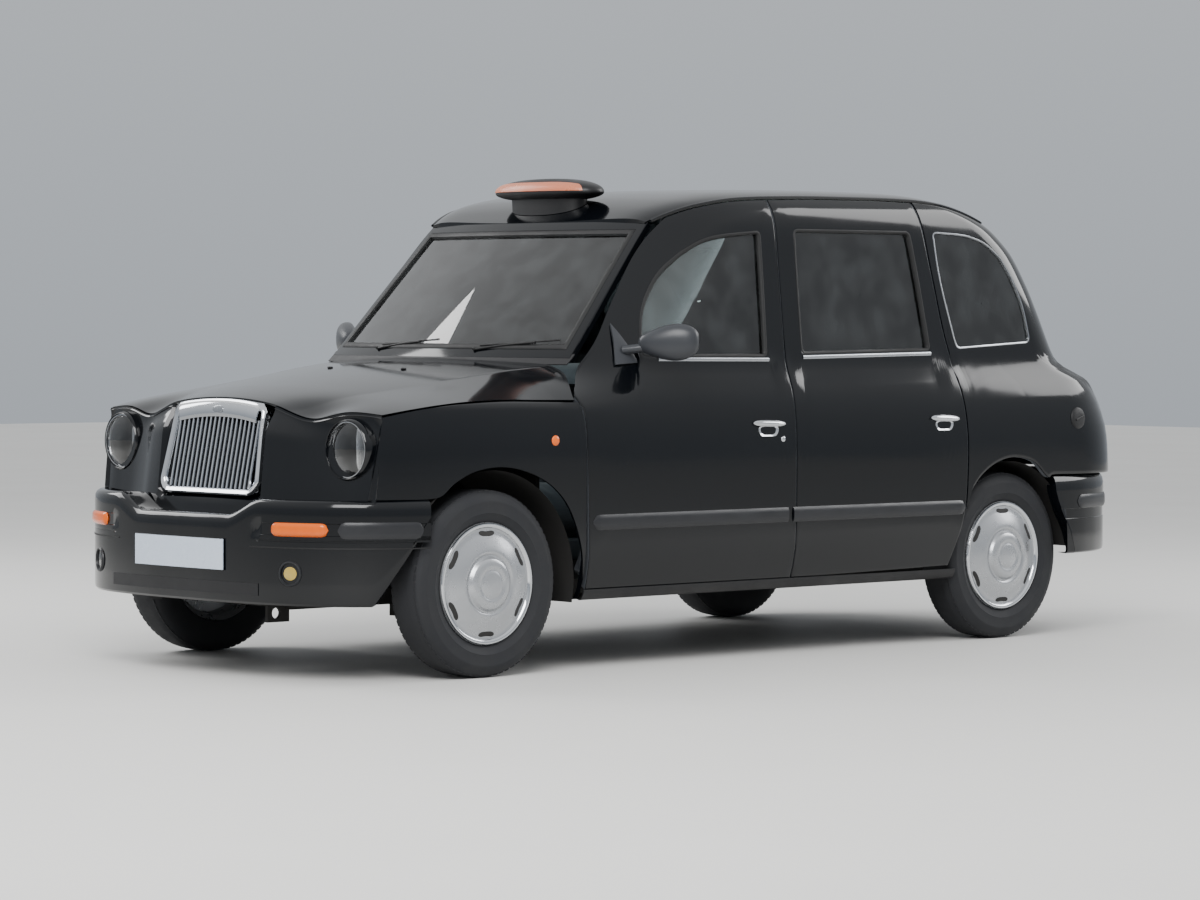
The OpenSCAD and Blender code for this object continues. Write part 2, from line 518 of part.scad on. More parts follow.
module floor_pan() {
  color(dark) union() {
    block(-786, 786, 438, 2480, floor_z - floor_depth, floor_z);
    block(-620, 620, 2470, 2580, floor_z - floor_depth, floor_z);
    block(-620, 620, 2560, 2580, floor_z, 500);
    block(-620, 620, 2560, 3310, 485, 500);
    block(-620, 620, 3290, 3310, 420, 500);
    block(-620, 620, 3290, 3636, 420, 440);
    block(-440, 440, 3626, 3676, 420, 440);
    block(-640, 640, 438, 458, floor_z, 1080);
  }
}
module partition() {
  color(dark) difference() {
    block(-690, 690, 1640, 1672, floor_z + 0.3, 1700);
    block(-560, 560, 1600, 1700, 1080, 1600);
  }
}

// ---- bumpers ----
front_path = [[0, -745], [200, -742], [400, -722], [540, -690], [650, -640], [742, -570], [804, -490], [844, -405], [866, -340], [879, -290]];
module front_bumper() {
  function section(k) =
    let(p = front_path[k], q = front_path[max(0, k - 1)], r = front_path[min(9, k + 1)], t = (r - q) / norm(r - q),
        n = [-t[1], t[0]], top = 655 - 60 * (1 - smooth(250, 430, p[0])), low = p[0] > 800 ? 276 + (p[1] + 490) * 1.5 : 276)
    [for (w = [[0, low], [0, top * 0.6 + low * 0.4], [0, top - 30], [22, top], [62, top], [62, low]])
      [p[0] + n[0] * w[0], p[1] + n[1] * w[0], w[1]]];
  secs = [for (k = [0:9]) section(k)];
  all = concat([for (k = [9:-1:1]) [for (p = secs[k]) [-p[0], p[1], p[2]]]], secs);
  color(black) difference() {
    loft_net(all);
    both() put(565, -580, 392) rotate([90, 0, 0]) cylinder(h = 140, r = 38.5);
    both() put(588, -669, 549) rotate([0, 0, 24]) cube([200.6, 20.6, 46.6], center = true);
  }
}
module rear_bumper() {
  slant = [[340, 134], [459, 74], [564, 44], [640, 2], [668, -14]];
  path = [[0, 3830], [250, 3826], [450, 3800], [600, 3752], [710, 3680], [790, 3590], [846, 3480], [877, 3375], [889, 3285], [894, 3154]];
  function section(k) =
    let(p = path[k], q = path[max(0, k - 1)], r = path[min(9, k + 1)], t = (r - q) / norm(r - q), n = [t[1], -t[0]])
    [for (w = [[0, 340], [0, 459], [0, 564], [0, 640], [14, 668], [52, 668], [52, 340]])
      [p[0] + n[0] * w[0], p[1] + n[1] * w[0] + (k == 9 ? 1 : k == 8 ? 0.42 : 0) * spl(slant, w[1]), w[1]]];
  secs = [for (k = [0:9]) section(k)];
  all = concat([for (k = [9:-1:1]) [for (p = secs[k]) [-p[0], p[1], p[2]]]], secs);
  color(black) loft_net(all);
}

// ---- lamps, plates, sign ----
module front_lamps() {
  color([0.85, 0.88, 0.9]) both() {
    put(667, -400, 834) rotate([90, 0, 0]) cylinder(h = 100, r = 101);
    put(565, -640, 392) rotate([90, 0, 0]) cylinder(h = 36, r = 38);
  }
}
module signal_lamps() {
  zs = [720, 800, 885];
  color([0.9, 0.4, 0.05]) both() {
    put(588, -669, 549) rotate([0, 0, 24]) cube([200, 20, 46], center = true);
    put(side(308, 859) + 0.3, 308, 859) rotate([0, 90, 0]) cylinder(h = 9, r = 19);
  }
  color([0.6, 0.03, 0.03]) both()
    slab_net(
      [for (z = zs) [for (x = [620, 665, 710]) skin(wrap_at(x, z), z, -14)]],
      [for (z = zs) [for (x = [620, 665, 710]) skin(wrap_at(x, z), z, -0.3)]]
    );
}
module number_plates() {
  color([0.9, 0.9, 0.92]) {
    put(-260, -753.3, 394) cube([520 * kx, 8, 111]);
    put(-260, 3830.3, 500) cube([520 * kx, 8, 111]);
  }
}
module roof_sign() {
  color(black) difference() {
    put(0, 1097, 1806) scale([1, 0.42, 0.2]) sphere(280, $fn = 40);
    translate([-400, 0, 0]) rotate([90, 0, 90]) linear_extrude(800)
      polygon([for (p = concat([for (s = [960:20:1240]) [s, spl(roof_line, s) + 0.2]], [[1240, 1600], [960, 1600]]))
        [Y(p[0]), p[1] * kz]]);
  }
}

// ---- glass ----
module fixed_windows() {
  function half(z) = mix(672, 612, (z - 1189) / (1645 - 1189));
  color(pane) {
    slab_net(
      [for (z = [1202.5, 1350, 1500, 1640]) [for (k = [0:10]) let(x = mix(-1, 1, k / 10) * (half(z) - 30.5)) screen(x, z, 0)]],
      [for (z = [1202.5, 1350, 1500, 1640]) [for (k = [0:10]) let(x = mix(-1, 1, k / 10) * (half(z) - 30.5)) screen(x, z, glass)]]
    );
    both() pane_net(win_q, 1, 8);
    slab_net(
      [for (z = [1207, 1340, 1480, 1600]) [for (k = [0:10]) let(x = mix(-1, 1, k / 10) * mix(569, 524.5, (z - 1206) / 394)) [x, tail_s(x, z) - 8, z]]],
      [for (z = [1207, 1340, 1480, 1600]) [for (k = [0:10]) let(x = mix(-1, 1, k / 10) * mix(569, 524.5, (z - 1206) / 394)) [x, tail_s(x, z) - 8 - glass, z]]]
    );
  }
}
module wipers() {
  color(dark) for (x = [-330, 250]) {
    hull() {
      put(x, screen_s(x, 1178) - 2, 1180) sphere(6, $fn = 16);
      put(x + 260, screen_s(x + 260, 1210) - 6, 1212) sphere(4.5, $fn = 16);
    }
  }
}

// ---- underneath ----
module exhaust() {
  color(dark) {
    put(-250, 600, 222) rotate([-90, 0, 0]) cylinder(h = 2100 * kl, r = 24);
    put(-250, 1320, 232) rotate([-90, 0, 0]) cylinder(h = 520, r = 68);
    difference() {
      put(-250, 2690, 222) rotate([-90, 0, 0]) cylinder(h = 1040 * kl, r = 24);
      put(-250, 3620, 222) rotate([-90, 0, 0]) cylinder(h = 200, r = 20);
    }
    for (s = [930, 2530, 3590]) block(-262, -238, s, s + 24, 240, 255);
  }
}
module chassis_frame() {
  pin_top = hub_z / kz + 110.3;
  pin_foot = hub_z / kz - 110.3;
  color(dark) {
    both() block(340, 420, -560, 3650, 250, 309);
    for (s = [-560, -60, 900, 1900, 2500, 3570]) block(-340, 340, s, s + 80, 255, 309);
    both() {
      for (s = [560, 2440]) put(380, s, 240) cylinder(h = 12, r = 34);
      block(384, 430, -60, 60, pin_foot - 28, pin_top + 26);
      block(420, kingpin_x + 24, -34, 34, pin_foot - 28, pin_foot);
      block(420, kingpin_x + 24, -34, 34, pin_top, pin_top + 26);
    }
    difference() {
      block(373, 387, -640, -540, 205, 300);
      put(360, -600, 238) rotate([0, 90, 0]) cylinder(h = 40, r = 20);
    }
  }
}
module engine() {
  color(dark) {
    block(-230, 230, -380, 330, 309.5, 820);
    block(-130, 130, 330, 428, 309.5, 560);
  }
}
module rear_axle() {
  half = rear_half_track * kx + 19.7;
  color(dark) translate([0, Y(2886), hub_z]) rotate([0, 90, 0]) rotate_extrude()
    polygon([[0, -half], [33, -half], [33, -124], [80, -100], [118, -50], [125, 0], [118, 50], [80, 100], [33, 124],
      [33, half], [0, half]]);
}
module knuckle(m) {
  color(dark) {
    translate([m * kingpin_x * kx, Y(0), hub_z - 110]) cylinder(h = 220, r = 26);
    translate([m * kingpin_x * kx, Y(0), hub_z]) rotate([0, m * 90, 0])
      cylinder(h = (half_track - kingpin_x) * kx + 19.7, r = 30);
  }
}

// ---- inside ----
module seats() {
  color(dark) {
    block(-560, -80, 1050, 1560, floor_z, 640);
    block(-560, -80, 1470, 1600, 640, 1150);
    block(-600, 600, 2540, 3050, 500, 640);
    block(-600, 600, 2950, 3100, 640, 1150);
  }
}
module on_column() {
  put(-330, 850, 960) rotate([-62, 0, 0]) children();
}
module dashboard() {
  color(dark) {
    block(-640, 640, 458, 700, 820, 1066);
    on_column() translate([0, 0, -300]) cylinder(h = 149.7, r = 24);
  }
}
module steering_wheel() {
  color(dark) on_column() {
    rotate_extrude() translate([steering_wheel_diameter / 2 - 15, 0]) circle(15, $fn = 32);
    cylinder(h = 30, r = 60, center = true);
    for (a = [90, 210, 330]) rotate([0, 0, a]) translate([0, -14, -6]) cube([steering_wheel_diameter / 2 - 16, 28, 10]);
    translate([0, 0, -150]) cylinder(h = 140, r = 18);
  }
}

// ---- doors, glass, mirrors ----
module door(m, rear) {
  color(black) if (rear) {
    door_net(door_r, win_r, m);
  } else {
    door_net(door_f, win_f, m);
  }
}
module window(m, rear) {
  color(pane) pane_net(rear ? win_r : win_f, m, 16);
}
module mirror_unit(m) {
  foot = [for (p = [[706, 1140], [790, 1150], [744, 1292]]) place(skin(p[0], p[1], -13), m)];
  arm = place([880, 838, 1205], m);
  color(dark) {
    hull() {
      for (p = foot) translate(p) sphere(13, $fn = 14);
    }
    hull() {
      translate((foot[0] + foot[1]) / 2 + [0, 0, 40]) sphere(24, $fn = 14);
      translate(arm) sphere(34, $fn = 14);
    }
    hull() {
      translate(arm + [m * 16, 10, 12]) scale([0.6, 0.75, 0.95]) sphere(70, $fn = 22);
      translate(arm + [m * 78, 16, 22]) scale([0.8, 0.9, 1]) sphere(66, $fn = 22);
    }
  }
}

// ---- wheels ----
function track(s) = (s > 0 ? rear_half_track : half_track) * kx;
module wheel(m, s) {
  color(silver) translate([m * track(s), Y(s), hub_z]) rotate([0, m * 90, 0]) {
    rotate_extrude($fn = 96) polygon([[0, 20], [rim_diameter / 2 - 20, 20], [rim_diameter / 2 - 14, -70],
      [rim_diameter / 2 - 2, -78], [rim_diameter / 2 - 2, 78], [rim_diameter / 2 - 12, 80], [190, 60], [80, 92], [0, 96]]);
  }
}
module tyre(m, s) {
  w = tyre_width / 2;
  r = tyre_diameter / 2;
  color([0.05, 0.05, 0.05]) translate([m * track(s), Y(s), hub_z]) rotate([0, m * 90, 0]) {
    rotate_extrude($fn = 96) polygon([[rim_diameter / 2 - 1.9, -70], [rim_diameter / 2 + 20, -w + 2],
      [rim_diameter / 2 + 70, -w], [r - 14, -w + 12], [r, -w + 30], [r, w - 30], [r - 14, w - 12],
      [rim_diameter / 2 + 70, w], [rim_diameter / 2 + 20, w - 2], [rim_diameter / 2 - 1.9, 70]]);
  }
}

roof_panel();
body_frame();
rear_body();
front_wings();
front_panel();
floor_pan();
partition();
front_bumper();
rear_bumper();
grille();
front_lamps();
signal_lamps();
number_plates();
roof_sign();
fixed_windows();
wipers();
exhaust();
chassis_frame();
engine();
rear_axle();
seats();
dashboard();
door(1, false);  // door_front_left
door(-1, false);  // door_front_right
door(1, true);  // door_rear_left
door(-1, true);  // door_rear_right
window(1, false);  // window_front_left
window(-1, false);  // window_front_right
window(1, true);  // window_rear_left
window(-1, true);  // window_rear_right
mirror_unit(1);  // mirror_left
mirror_unit(-1);  // mirror_right
bonnet();
boot_lid();
steering_wheel();
knuckle(1);  // knuckle_left
knuckle(-1);  // knuckle_right
wheel(1, 0);  // wheel_front_left
wheel(-1, 0);  // wheel_front_right
wheel(1, 2886);  // wheel_rear_left
wheel(-1, 2886);  // wheel_rear_right
tyre(1, 0);  // tyre_front_left
tyre(-1, 0);  // tyre_front_right
tyre(1, 2886);  // tyre_rear_left
tyre(-1, 2886);  // tyre_rear_right
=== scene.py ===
"""City taxi cab: visual model built round the packed part. Lengths are in mm until a mesh is made."""
import json
import math

import bpy
import numpy as np
from mathutils import Matrix, Vector

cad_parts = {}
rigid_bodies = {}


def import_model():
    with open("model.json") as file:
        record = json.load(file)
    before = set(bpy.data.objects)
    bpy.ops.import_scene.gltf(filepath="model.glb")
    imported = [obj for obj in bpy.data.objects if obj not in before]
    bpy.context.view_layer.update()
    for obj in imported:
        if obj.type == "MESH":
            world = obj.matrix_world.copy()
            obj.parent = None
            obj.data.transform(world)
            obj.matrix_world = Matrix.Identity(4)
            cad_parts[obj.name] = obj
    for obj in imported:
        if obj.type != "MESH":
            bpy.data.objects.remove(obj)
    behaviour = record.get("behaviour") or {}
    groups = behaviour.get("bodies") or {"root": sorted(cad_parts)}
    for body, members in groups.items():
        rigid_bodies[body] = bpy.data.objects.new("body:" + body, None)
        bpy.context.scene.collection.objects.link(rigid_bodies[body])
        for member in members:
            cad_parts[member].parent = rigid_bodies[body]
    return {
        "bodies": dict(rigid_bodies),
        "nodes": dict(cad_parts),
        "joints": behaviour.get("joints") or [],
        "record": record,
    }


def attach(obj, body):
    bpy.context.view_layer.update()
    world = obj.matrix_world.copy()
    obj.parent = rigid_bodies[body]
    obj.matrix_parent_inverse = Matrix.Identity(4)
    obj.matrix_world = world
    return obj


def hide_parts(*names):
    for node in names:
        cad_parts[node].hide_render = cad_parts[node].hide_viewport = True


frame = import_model()

bl_info = {
    "name": "City taxi cab",
    "version": (1, 0, 0),
    "blender": (4, 5, 0),
    "location": "View3D > Sidebar > Cab",
    "description": "Builds the panels, glass, lamps, wheels and cabin of a city taxi cab",
    "category": "Object",
}

MID_Y = 1542.5
SIDES = (("left", 1), ("right", -1))
WHEELS = (("front_left", 782, 0), ("front_right", -782, 0), ("rear_left", 762, 2886),
          ("rear_right", -762, 2886))

# ---- surface tables: height or distance behind the front axle against size ----
HALF_WIDTH = [
    (200, 812), (245, 830), (300, 858), (360, 874), (420, 886), (470, 889), (600, 890), (750, 890),
    (860, 888),
    (950, 881), (1010, 871), (1060, 857), (1100, 842), (1130, 833), (1160, 829), (1250, 820.5), (1400, 806),
    (1550, 791), (1650, 781), (1700, 772), (1750, 752), (1785, 726), (1800, 710), (1815, 680)]
NOSE_DRAW = [(-700, 330), (-600, 200), (-500, 110), (-400, 62), (-268, 32), (-100, 12), (100, 2), (300, 0),
             (500, 0)]
SCREEN_DRAW = [
    (500, 230), (560, 175), (587, 150), (640, 105), (700, 68), (770, 38), (850, 18), (950, 6), (1100, 0),
    (1300, 0)]
TAIL_LINE = [
    (250, 3690), (330, 3735), (450, 3765), (600, 3778), (722, 3780), (871, 3759), (957, 3718), (1020, 3668),
    (1060, 3620), (1085, 3560), (1105, 3480), (1130, 3400), (1160, 3370), (1231, 3329), (1356, 3269),
    (1460, 3216),
    (1580, 3138), (1650, 3062), (1705, 2982), (1750, 2880), (1790, 2750), (1815, 2600)]
TAIL_RADIUS = [(250, 430), (900, 430), (1000, 400), (1090, 320), (1150, 250), (1700, 250), (1815, 250)]
ROOF_LINE = [
    (940, 1672), (1000, 1705), (1100, 1752), (1217, 1788), (1400, 1817), (1700, 1831), (2000, 1836),
    (2400, 1836),
    (2600, 1822), (2750, 1792), (2880, 1748), (2982, 1703), (3060, 1655)]
BONNET_MID = [
    (-600, 985), (-560, 1006), (-480, 1024), (-336, 1048), (-208, 1066), (0, 1096), (292, 1138),
    (474, 1160), (520, 1166)]
BONNET_FOLD = [(-600, 300), (-503, 380), (-208, 500), (292, 600), (520, 630)]
BONNET_SIDE = [(-560, 930), (-470, 956), (-300, 985), (-118, 1003), (70, 1010), (260, 1008), (440, 1006),
               (520, 1004)]
BONNET_REAR = [
    (0, 425), (0.23, 440), (0.46, 470), (0.635, 498), (0.75, 514), (0.83, 510), (0.87, 490), (0.93, 458),
    (0.98, 432),
    (1, 426)]
BONNET_FRONT = [(0, -538), (0.35, -536), (0.5, -526), (0.62, -508), (0.74, -492), (0.86, -476), (1, -452)]
ROOF_DROP = 36


def clamp(v, a=0.0, b=1.0):
    return min(b, max(a, v))


def smooth(a, b, v):
    u = clamp((v - a) / (b - a))
    return u * u * (3 - 2 * u)


def mix(a, b, t):
    return a + (b - a) * t


def spl(table, v):
    """Smooth curve through a table of (place, size)."""
    i = 0
    while i < len(table) - 2 and v >= table[i + 1][0]:
        i += 1

    def slope(j):
        a, b = max(0, j - 1), min(len(table) - 1, j + 1)
        return (table[b][1] - table[a][1]) / (table[b][0] - table[a][0])

    h = table[i + 1][0] - table[i][0]
    u = clamp((v - table[i][0]) / h)
    return (table[i][1] * (1 + 2 * u) * (1 - u) ** 2 + table[i + 1][1] * u * u * (3 - 2 * u)
            + h * slope(i) * u * (1 - u) ** 2 - h * slope(i + 1) * u * u * (1 - u))


def side(s, z):
    w = 1 - smooth(980, 1150, z)
    return spl(HALF_WIDTH, z) - spl(NOSE_DRAW, s) * w - spl(SCREEN_DRAW, s - 0.9 * (z - 1189)) * (1 - w)


def wrap(q, z):
    """Point on the body side, q along the side and round the tail corner."""
    r = spl(TAIL_RADIUS, z)
    c = spl(TAIL_LINE, z) - r
    a = (q - c) / r
    if a <= 0:
        return Vector((side(q, z), q, z))
    if a <= math.pi / 2:
        return Vector((side(c, z) - r + r * math.cos(a), c + r * math.sin(a), z))
    return Vector((side(c, z) - r - (a - math.pi / 2) * r, c + r, z))


def wrap_at(x, z):
    r = spl(TAIL_RADIUS, z)
    c = spl(TAIL_LINE, z) - r
    e = side(c, z) - r
    return c + (r * math.acos(clamp((x - e) / r)) if x >= e else r * math.pi / 2 + e - x)


def skin(q, z, d):
    p = wrap(q, z)
    n = (wrap(q + 3, z) - p).cross(wrap(q, z + 3) - p).normalized()
    return p - float(d) * n


def roof_edge_z(s):
    return spl(ROOF_LINE, s) - ROOF_DROP


def tail_x(s, z):
    r = spl(TAIL_RADIUS, z)
    c = spl(TAIL_LINE, z) - r
    d = clamp(s - c, 0, r)
    return side(min(s, c), z) - r + math.sqrt(r * r - d * d)


def tail_s(x, z):
    r = spl(TAIL_RADIUS, z)
    c = spl(TAIL_LINE, z) - r
    d = clamp(abs(x) - side(c, z) + r, 0, r)
    return c + math.sqrt(r * r - d * d)


def roof_z(s, x):
    u = abs(x) / tail_x(s, roof_edge_z(s))
    return spl(ROOF_LINE, s) - 14 * u * u - (ROOF_DROP - 14) * u ** 12


def bonnet_half(s):
    return wrap(s, spl(BONNET_SIDE, s))[0]


def bonnet_z(s, x):
    a, f = abs(x), spl(BONNET_FOLD, s)
    h = max(f + 60, bonnet_half(s))
    top, e = spl(BONNET_MID, s), spl(BONNET_SIDE, s)
    t = clamp((a - f) / (h - f))
    dip = 40 * math.exp(-((a - 480) / 120) ** 2) * math.exp(-((s + 520) / 110) ** 2)
    return (top - 30 * (a / f) ** 2 if a < f
            else top - 30 - (top - 30 - e) * (0.62 * t + 0.38 * t ** 3)) - dip


def bonnet_drop(s):
    return mix(0.25, 1, smooth(-520, -380, s)) * 24


def screen_s(x, z):
    return 440 + (z - 1165) * 0.998 + (123 - (z - 1189) * 0.06) * (x / 677) ** 2


def screen(x, z, d):
    return Vector((x, screen_s(x, z) + 0.72 * d, z - 0.69 * d))


def screen_half(z):
    return mix(672, 612, (z - 1189) / (1645 - 1189))


# ---- outlines of doors and windows: distance behind the front axle, height ----
DOOR_F = (
    [(490, 300), (1590, 299)],
    [(1590, 299), (1590, 606), (1590, 840), (1590, 996), (1588, 1105), (1582, 1180), (1576, 1400),
     (1573, 1600),
     (1570, roof_edge_z(1570) - 12)],
    [(s, roof_edge_z(s) - 12) for s in (1570, 1480, 1390, 1300, 1220, 1150, 1090)],
    [(1090, roof_edge_z(1090) - 12), (1000, 1626), (904, 1525), (772, 1360), (655, 1209), (520, 1082),
     (452, 1032),
     (440, 1012), (461, 975), (470, 900), (473, 821), (480, 636), (486, 413), (490, 300)])
DOOR_R = (
    [(1597, 300), (2514, 316)],
    [(2514, 316), (2540, 398), (2580, 499), (2597, 600), (2602, 730), (2602, 824), (2592, 946),
     (2578, 1048),
     (2560, 1141), (2520, 1271), (2478, 1474), (2436, 1680), (2420, roof_edge_z(2420) - 12)],
    [(s, roof_edge_z(s) - 12) for s in (2420, 2200, 2000, 1800, 1583)],
    [(1583, roof_edge_z(1583) - 12), (1584, 1600), (1586, 1400), (1590, 1180), (1595, 1105), (1597, 996),
     (1597, 840), (1597, 606), (1597, 300)])
WIN_F = (
    [(838, 1172), (860, 1168), (1470, 1166)],
    [(1470, 1166), (1482, 1172), (1486, 1190), (1490, 1630), (1486, 1646), (1474, 1652)],
    [(1474, 1652), (1281, 1634), (1185, 1611), (1089, 1565)],
    [(1089, 1565), (1000, 1503), (934, 1437), (869, 1342), (833, 1240), (824, 1188), (838, 1172)])
WIN_R = (
    [(1696, 1176), (2420, 1188)],
    [(2420, 1188), (2434, 1196), (2436, 1212), (2362, 1652), (2340, 1668)],
    [(2340, 1668), (1700, 1664)],
    [(1700, 1664), (1684, 1658), (1680, 1646), (1682, 1194), (1696, 1176)])


def rear_edge(z):
    return (wrap_at(mix(612, 650, smooth(1500, 1680, z)) if z > 1150 else 597, z), z)


QUARTER = (
    [(2604, 545), (2640, 630), (2709, 692), (2802, 735), (2900, 749), (3020, 728), (3115, 660), (3135, 672),
     (3300, 672), (3500, 672), (3700, 672), (3882, 672)],
    [rear_edge(z) for z in (672, 760, 870, 957, 1020, 1060, 1085, 1105, 1130, 1160, 1231, 1356, 1460, 1580,
                            1640)],
    [rear_edge(1655)] + [(s, roof_edge_z(s) - 1) for s in (2950, 2880, 2750, 2600, 2434)],
    [(2434, roof_edge_z(2434) - 1), (2445, 1690), (2487, 1474), (2529, 1271), (2569, 1141), (2586, 1048),
     (2600, 946), (2610, 824), (2610, 730), (2604, 600), (2600, 560), (2604, 545)])
WIN_Q = (
    [(2622, 1199), (3040, 1222)],
    [(3040, 1222), (3056, 1232), (3058, 1250), (3029, 1376), (2977, 1480), (2910, 1570)],
    [(2910, 1570), (2820, 1626), (2730, 1652), (2669, 1660), (2520, 1666)],
    [(2520, 1666), (2506, 1660), (2502, 1648), (2526, 1474), (2580, 1271), (2596, 1222), (2606, 1204),
     (2622, 1199)])


def along(points, n, last=False, curved=True):
    """n points evenly along a run of points, on a smooth curve through them."""
    p = np.array(points, float)
    d = np.r_[0, np.cumsum(np.linalg.norm(np.diff(p, axis=0), axis=1))]
    m = n - 1 if last else n
    out = []
    for k in range(n):
        v = d[-1] * k / m
        i = min(max(int(np.searchsorted(d, v, "right")) - 1, 0), len(p) - 2)
        h = d[i + 1] - d[i]
        u = clamp((v - d[i]) / h)
        if curved:
            def slope(j):
                a, b = max(0, j - 1), min(len(p) - 1, j + 1)
                return (p[b] - p[a]) / (d[b] - d[a])
            q = (p[i] * (1 + 2 * u) * (1 - u) ** 2 + p[i + 1] * u * u * (3 - 2 * u)
                 + h * slope(i) * u * (1 - u) ** 2 - h * slope(i + 1) * u * u * (1 - u))
        else:
            q = p[i] + (p[i + 1] - p[i]) * u
        out.append(q)
    return out


def loop(outline, counts):
    return np.array([q for part, n in zip(outline, counts) for q in along(part, n)])


def inset(line, a):
    """A closed outline moved inwards by a."""
    t = np.roll(line, -1, axis=0) - np.roll(line, 1, axis=0)
    n = np.stack([-t[:, 1], t[:, 0]], axis=1) / np.maximum(1e-6, np.linalg.norm(t, axis=1))[:, None]
    return line + n * a


def on_skin(line, d):
    return [skin(p[0], p[1], d) for p in line]


def deep_skin(line, a, b):
    return [skin(p[0], p[1], mix(a, b, smooth(1000, 1150, p[1]))) for p in line]


def place(p, m=1):
    return (m * p[0] / 1000, (p[1] - MID_Y) / 1000, p[2] / 1000)


# ---- mesh making ----
def deselect():
    if bpy.context.object and bpy.context.object.mode != "OBJECT":
        bpy.ops.object.mode_set(mode="OBJECT")
    bpy.ops.object.select_all(action="DESELECT")


def finish_piece(obj, name, body, materials, angle=40, node=()):
    """Name, materials, smooth shading, and the body that the piece rides on."""
    obj.name = name
    obj.data.name = name
    for m in materials:
        if m.name not in [k.name for k in obj.data.materials if k]:
            obj.data.materials.append(m)
    deselect()
    obj.select_set(True)
    bpy.context.view_layer.objects.active = obj
    bpy.ops.object.shade_smooth_by_angle(angle=math.radians(angle))
    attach(obj, body)
    if node:
        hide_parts(*node)
    return obj


def tidy_mesh(obj, merge=0.00002):
    deselect()
    obj.select_set(True)
    bpy.context.view_layer.objects.active = obj
    bpy.ops.object.mode_set(mode="EDIT")
    bpy.ops.mesh.select_all(action="SELECT")
    bpy.ops.mesh.remove_doubles(threshold=merge)
    bpy.ops.mesh.normals_make_consistent(inside=False)
    bpy.ops.object.mode_set(mode="OBJECT")


def grid_piece(rows, m=1, wrap_cols=False, wrap_rows=False, bands=()):
    """A sheet of quads from a primitive grid, set to the rows. bands gives (first row, material)."""
    rows = [list(r) + ([r[0]] if wrap_cols else []) for r in rows]
    if wrap_rows:
        rows.append(rows[0])
    nr, nc = len(rows), len(rows[0])
    deselect()
    bpy.ops.mesh.primitive_grid_add(x_subdivisions=nc - 1, y_subdivisions=nr - 1, size=1)
    obj = bpy.context.object
    co = np.array([place(p, m) for r in rows for p in r], np.float32)
    obj.data.vertices.foreach_set("co", co.ravel())
    if bands:
        index = np.zeros((nr - 1, nc - 1), int)
        for first, number in bands:
            index[first:, :] = number
        obj.data.polygons.foreach_set("material_index", index.ravel())
    obj.data.update()
    tidy_mesh(obj)
    return obj


def shell(rows, depth, m=1, edge=1.2):
    """A panel with thickness: outer rows, rounded edge, inner rows."""
    def under(i, j):
        r, c = len(rows), len(rows[0])
        a = Vector(rows[min(i + 1, r - 1)][j]) - Vector(rows[max(i - 1, 0)][j])
        b = Vector(rows[i][min(j + 1, c - 1)]) - Vector(rows[i][max(j - 1, 0)])
        return a.cross(b).normalized()
    sign = 1 if under(len(rows) // 2, len(rows[0]) // 2)[2] < 0 else -1
    r, c = len(rows), len(rows[0])
    inner = [[Vector(rows[i][j]) + sign * depth * under(i, j) for j in range(c)] for i in range(r)]
    ring_rows = [[mix(Vector(rows[i][j]), inner[i][j], 0.5) for j in range(c)] for i in range(r)]
    obj = grid_piece(rows, m)
    low = grid_piece(inner, m)
    edges = ([(rows[0][j], ring_rows[0][j], inner[0][j]) for j in range(c)]
             + [(rows[i][-1], ring_rows[i][-1], inner[i][-1]) for i in range(r)]
             + [(rows[-1][j], ring_rows[-1][j], inner[-1][j]) for j in range(c - 1, -1, -1)]
             + [(rows[i][0], ring_rows[i][0], inner[i][0]) for i in range(r - 1, -1, -1)])
    rim = grid_piece([list(k) for k in zip(*edges)], m, wrap_cols=True)
    return join([obj, low, rim])


def join(objs, merge=0.00002):
    deselect()
    for o in objs:
        o.select_set(True)
    bpy.context.view_layer.objects.active = objs[0]
    bpy.ops.object.join()
    obj = bpy.context.object
    tidy_mesh(obj, merge)
    return obj


def lathe(profile, centre, axis, steps=72, m=1):
    """A closed outline of (radius, distance along the axis) spun once round."""
    deselect()
    bpy.ops.mesh.primitive_circle_add(vertices=len(profile), radius=1)
    obj = bpy.context.object
    a = Vector(axis).normalized()
    u = a.orthogonal().normalized()
    c = Vector(centre)
    co = [place(c + a * h + u * r) for r, h in profile]
    obj.data.vertices.foreach_set("co", np.array(co, np.float32).ravel())
    bpy.ops.object.mode_set(mode="EDIT")
    bpy.ops.mesh.select_all(action="SELECT")
    bpy.ops.mesh.spin(steps=steps, angle=2 * math.pi, center=place(c), axis=a)
    bpy.ops.mesh.select_all(action="SELECT")
    bpy.ops.mesh.remove_doubles(threshold=0.00003)
    bpy.ops.mesh.normals_make_consistent(inside=False)
    bpy.ops.object.mode_set(mode="OBJECT")
    if m < 0:
        co = np.empty(len(obj.data.vertices) * 3, np.float32)
        obj.data.vertices.foreach_get("co", co)
        co[0::3] *= -1
        obj.data.vertices.foreach_set("co", co)
        tidy_mesh(obj)
    return obj


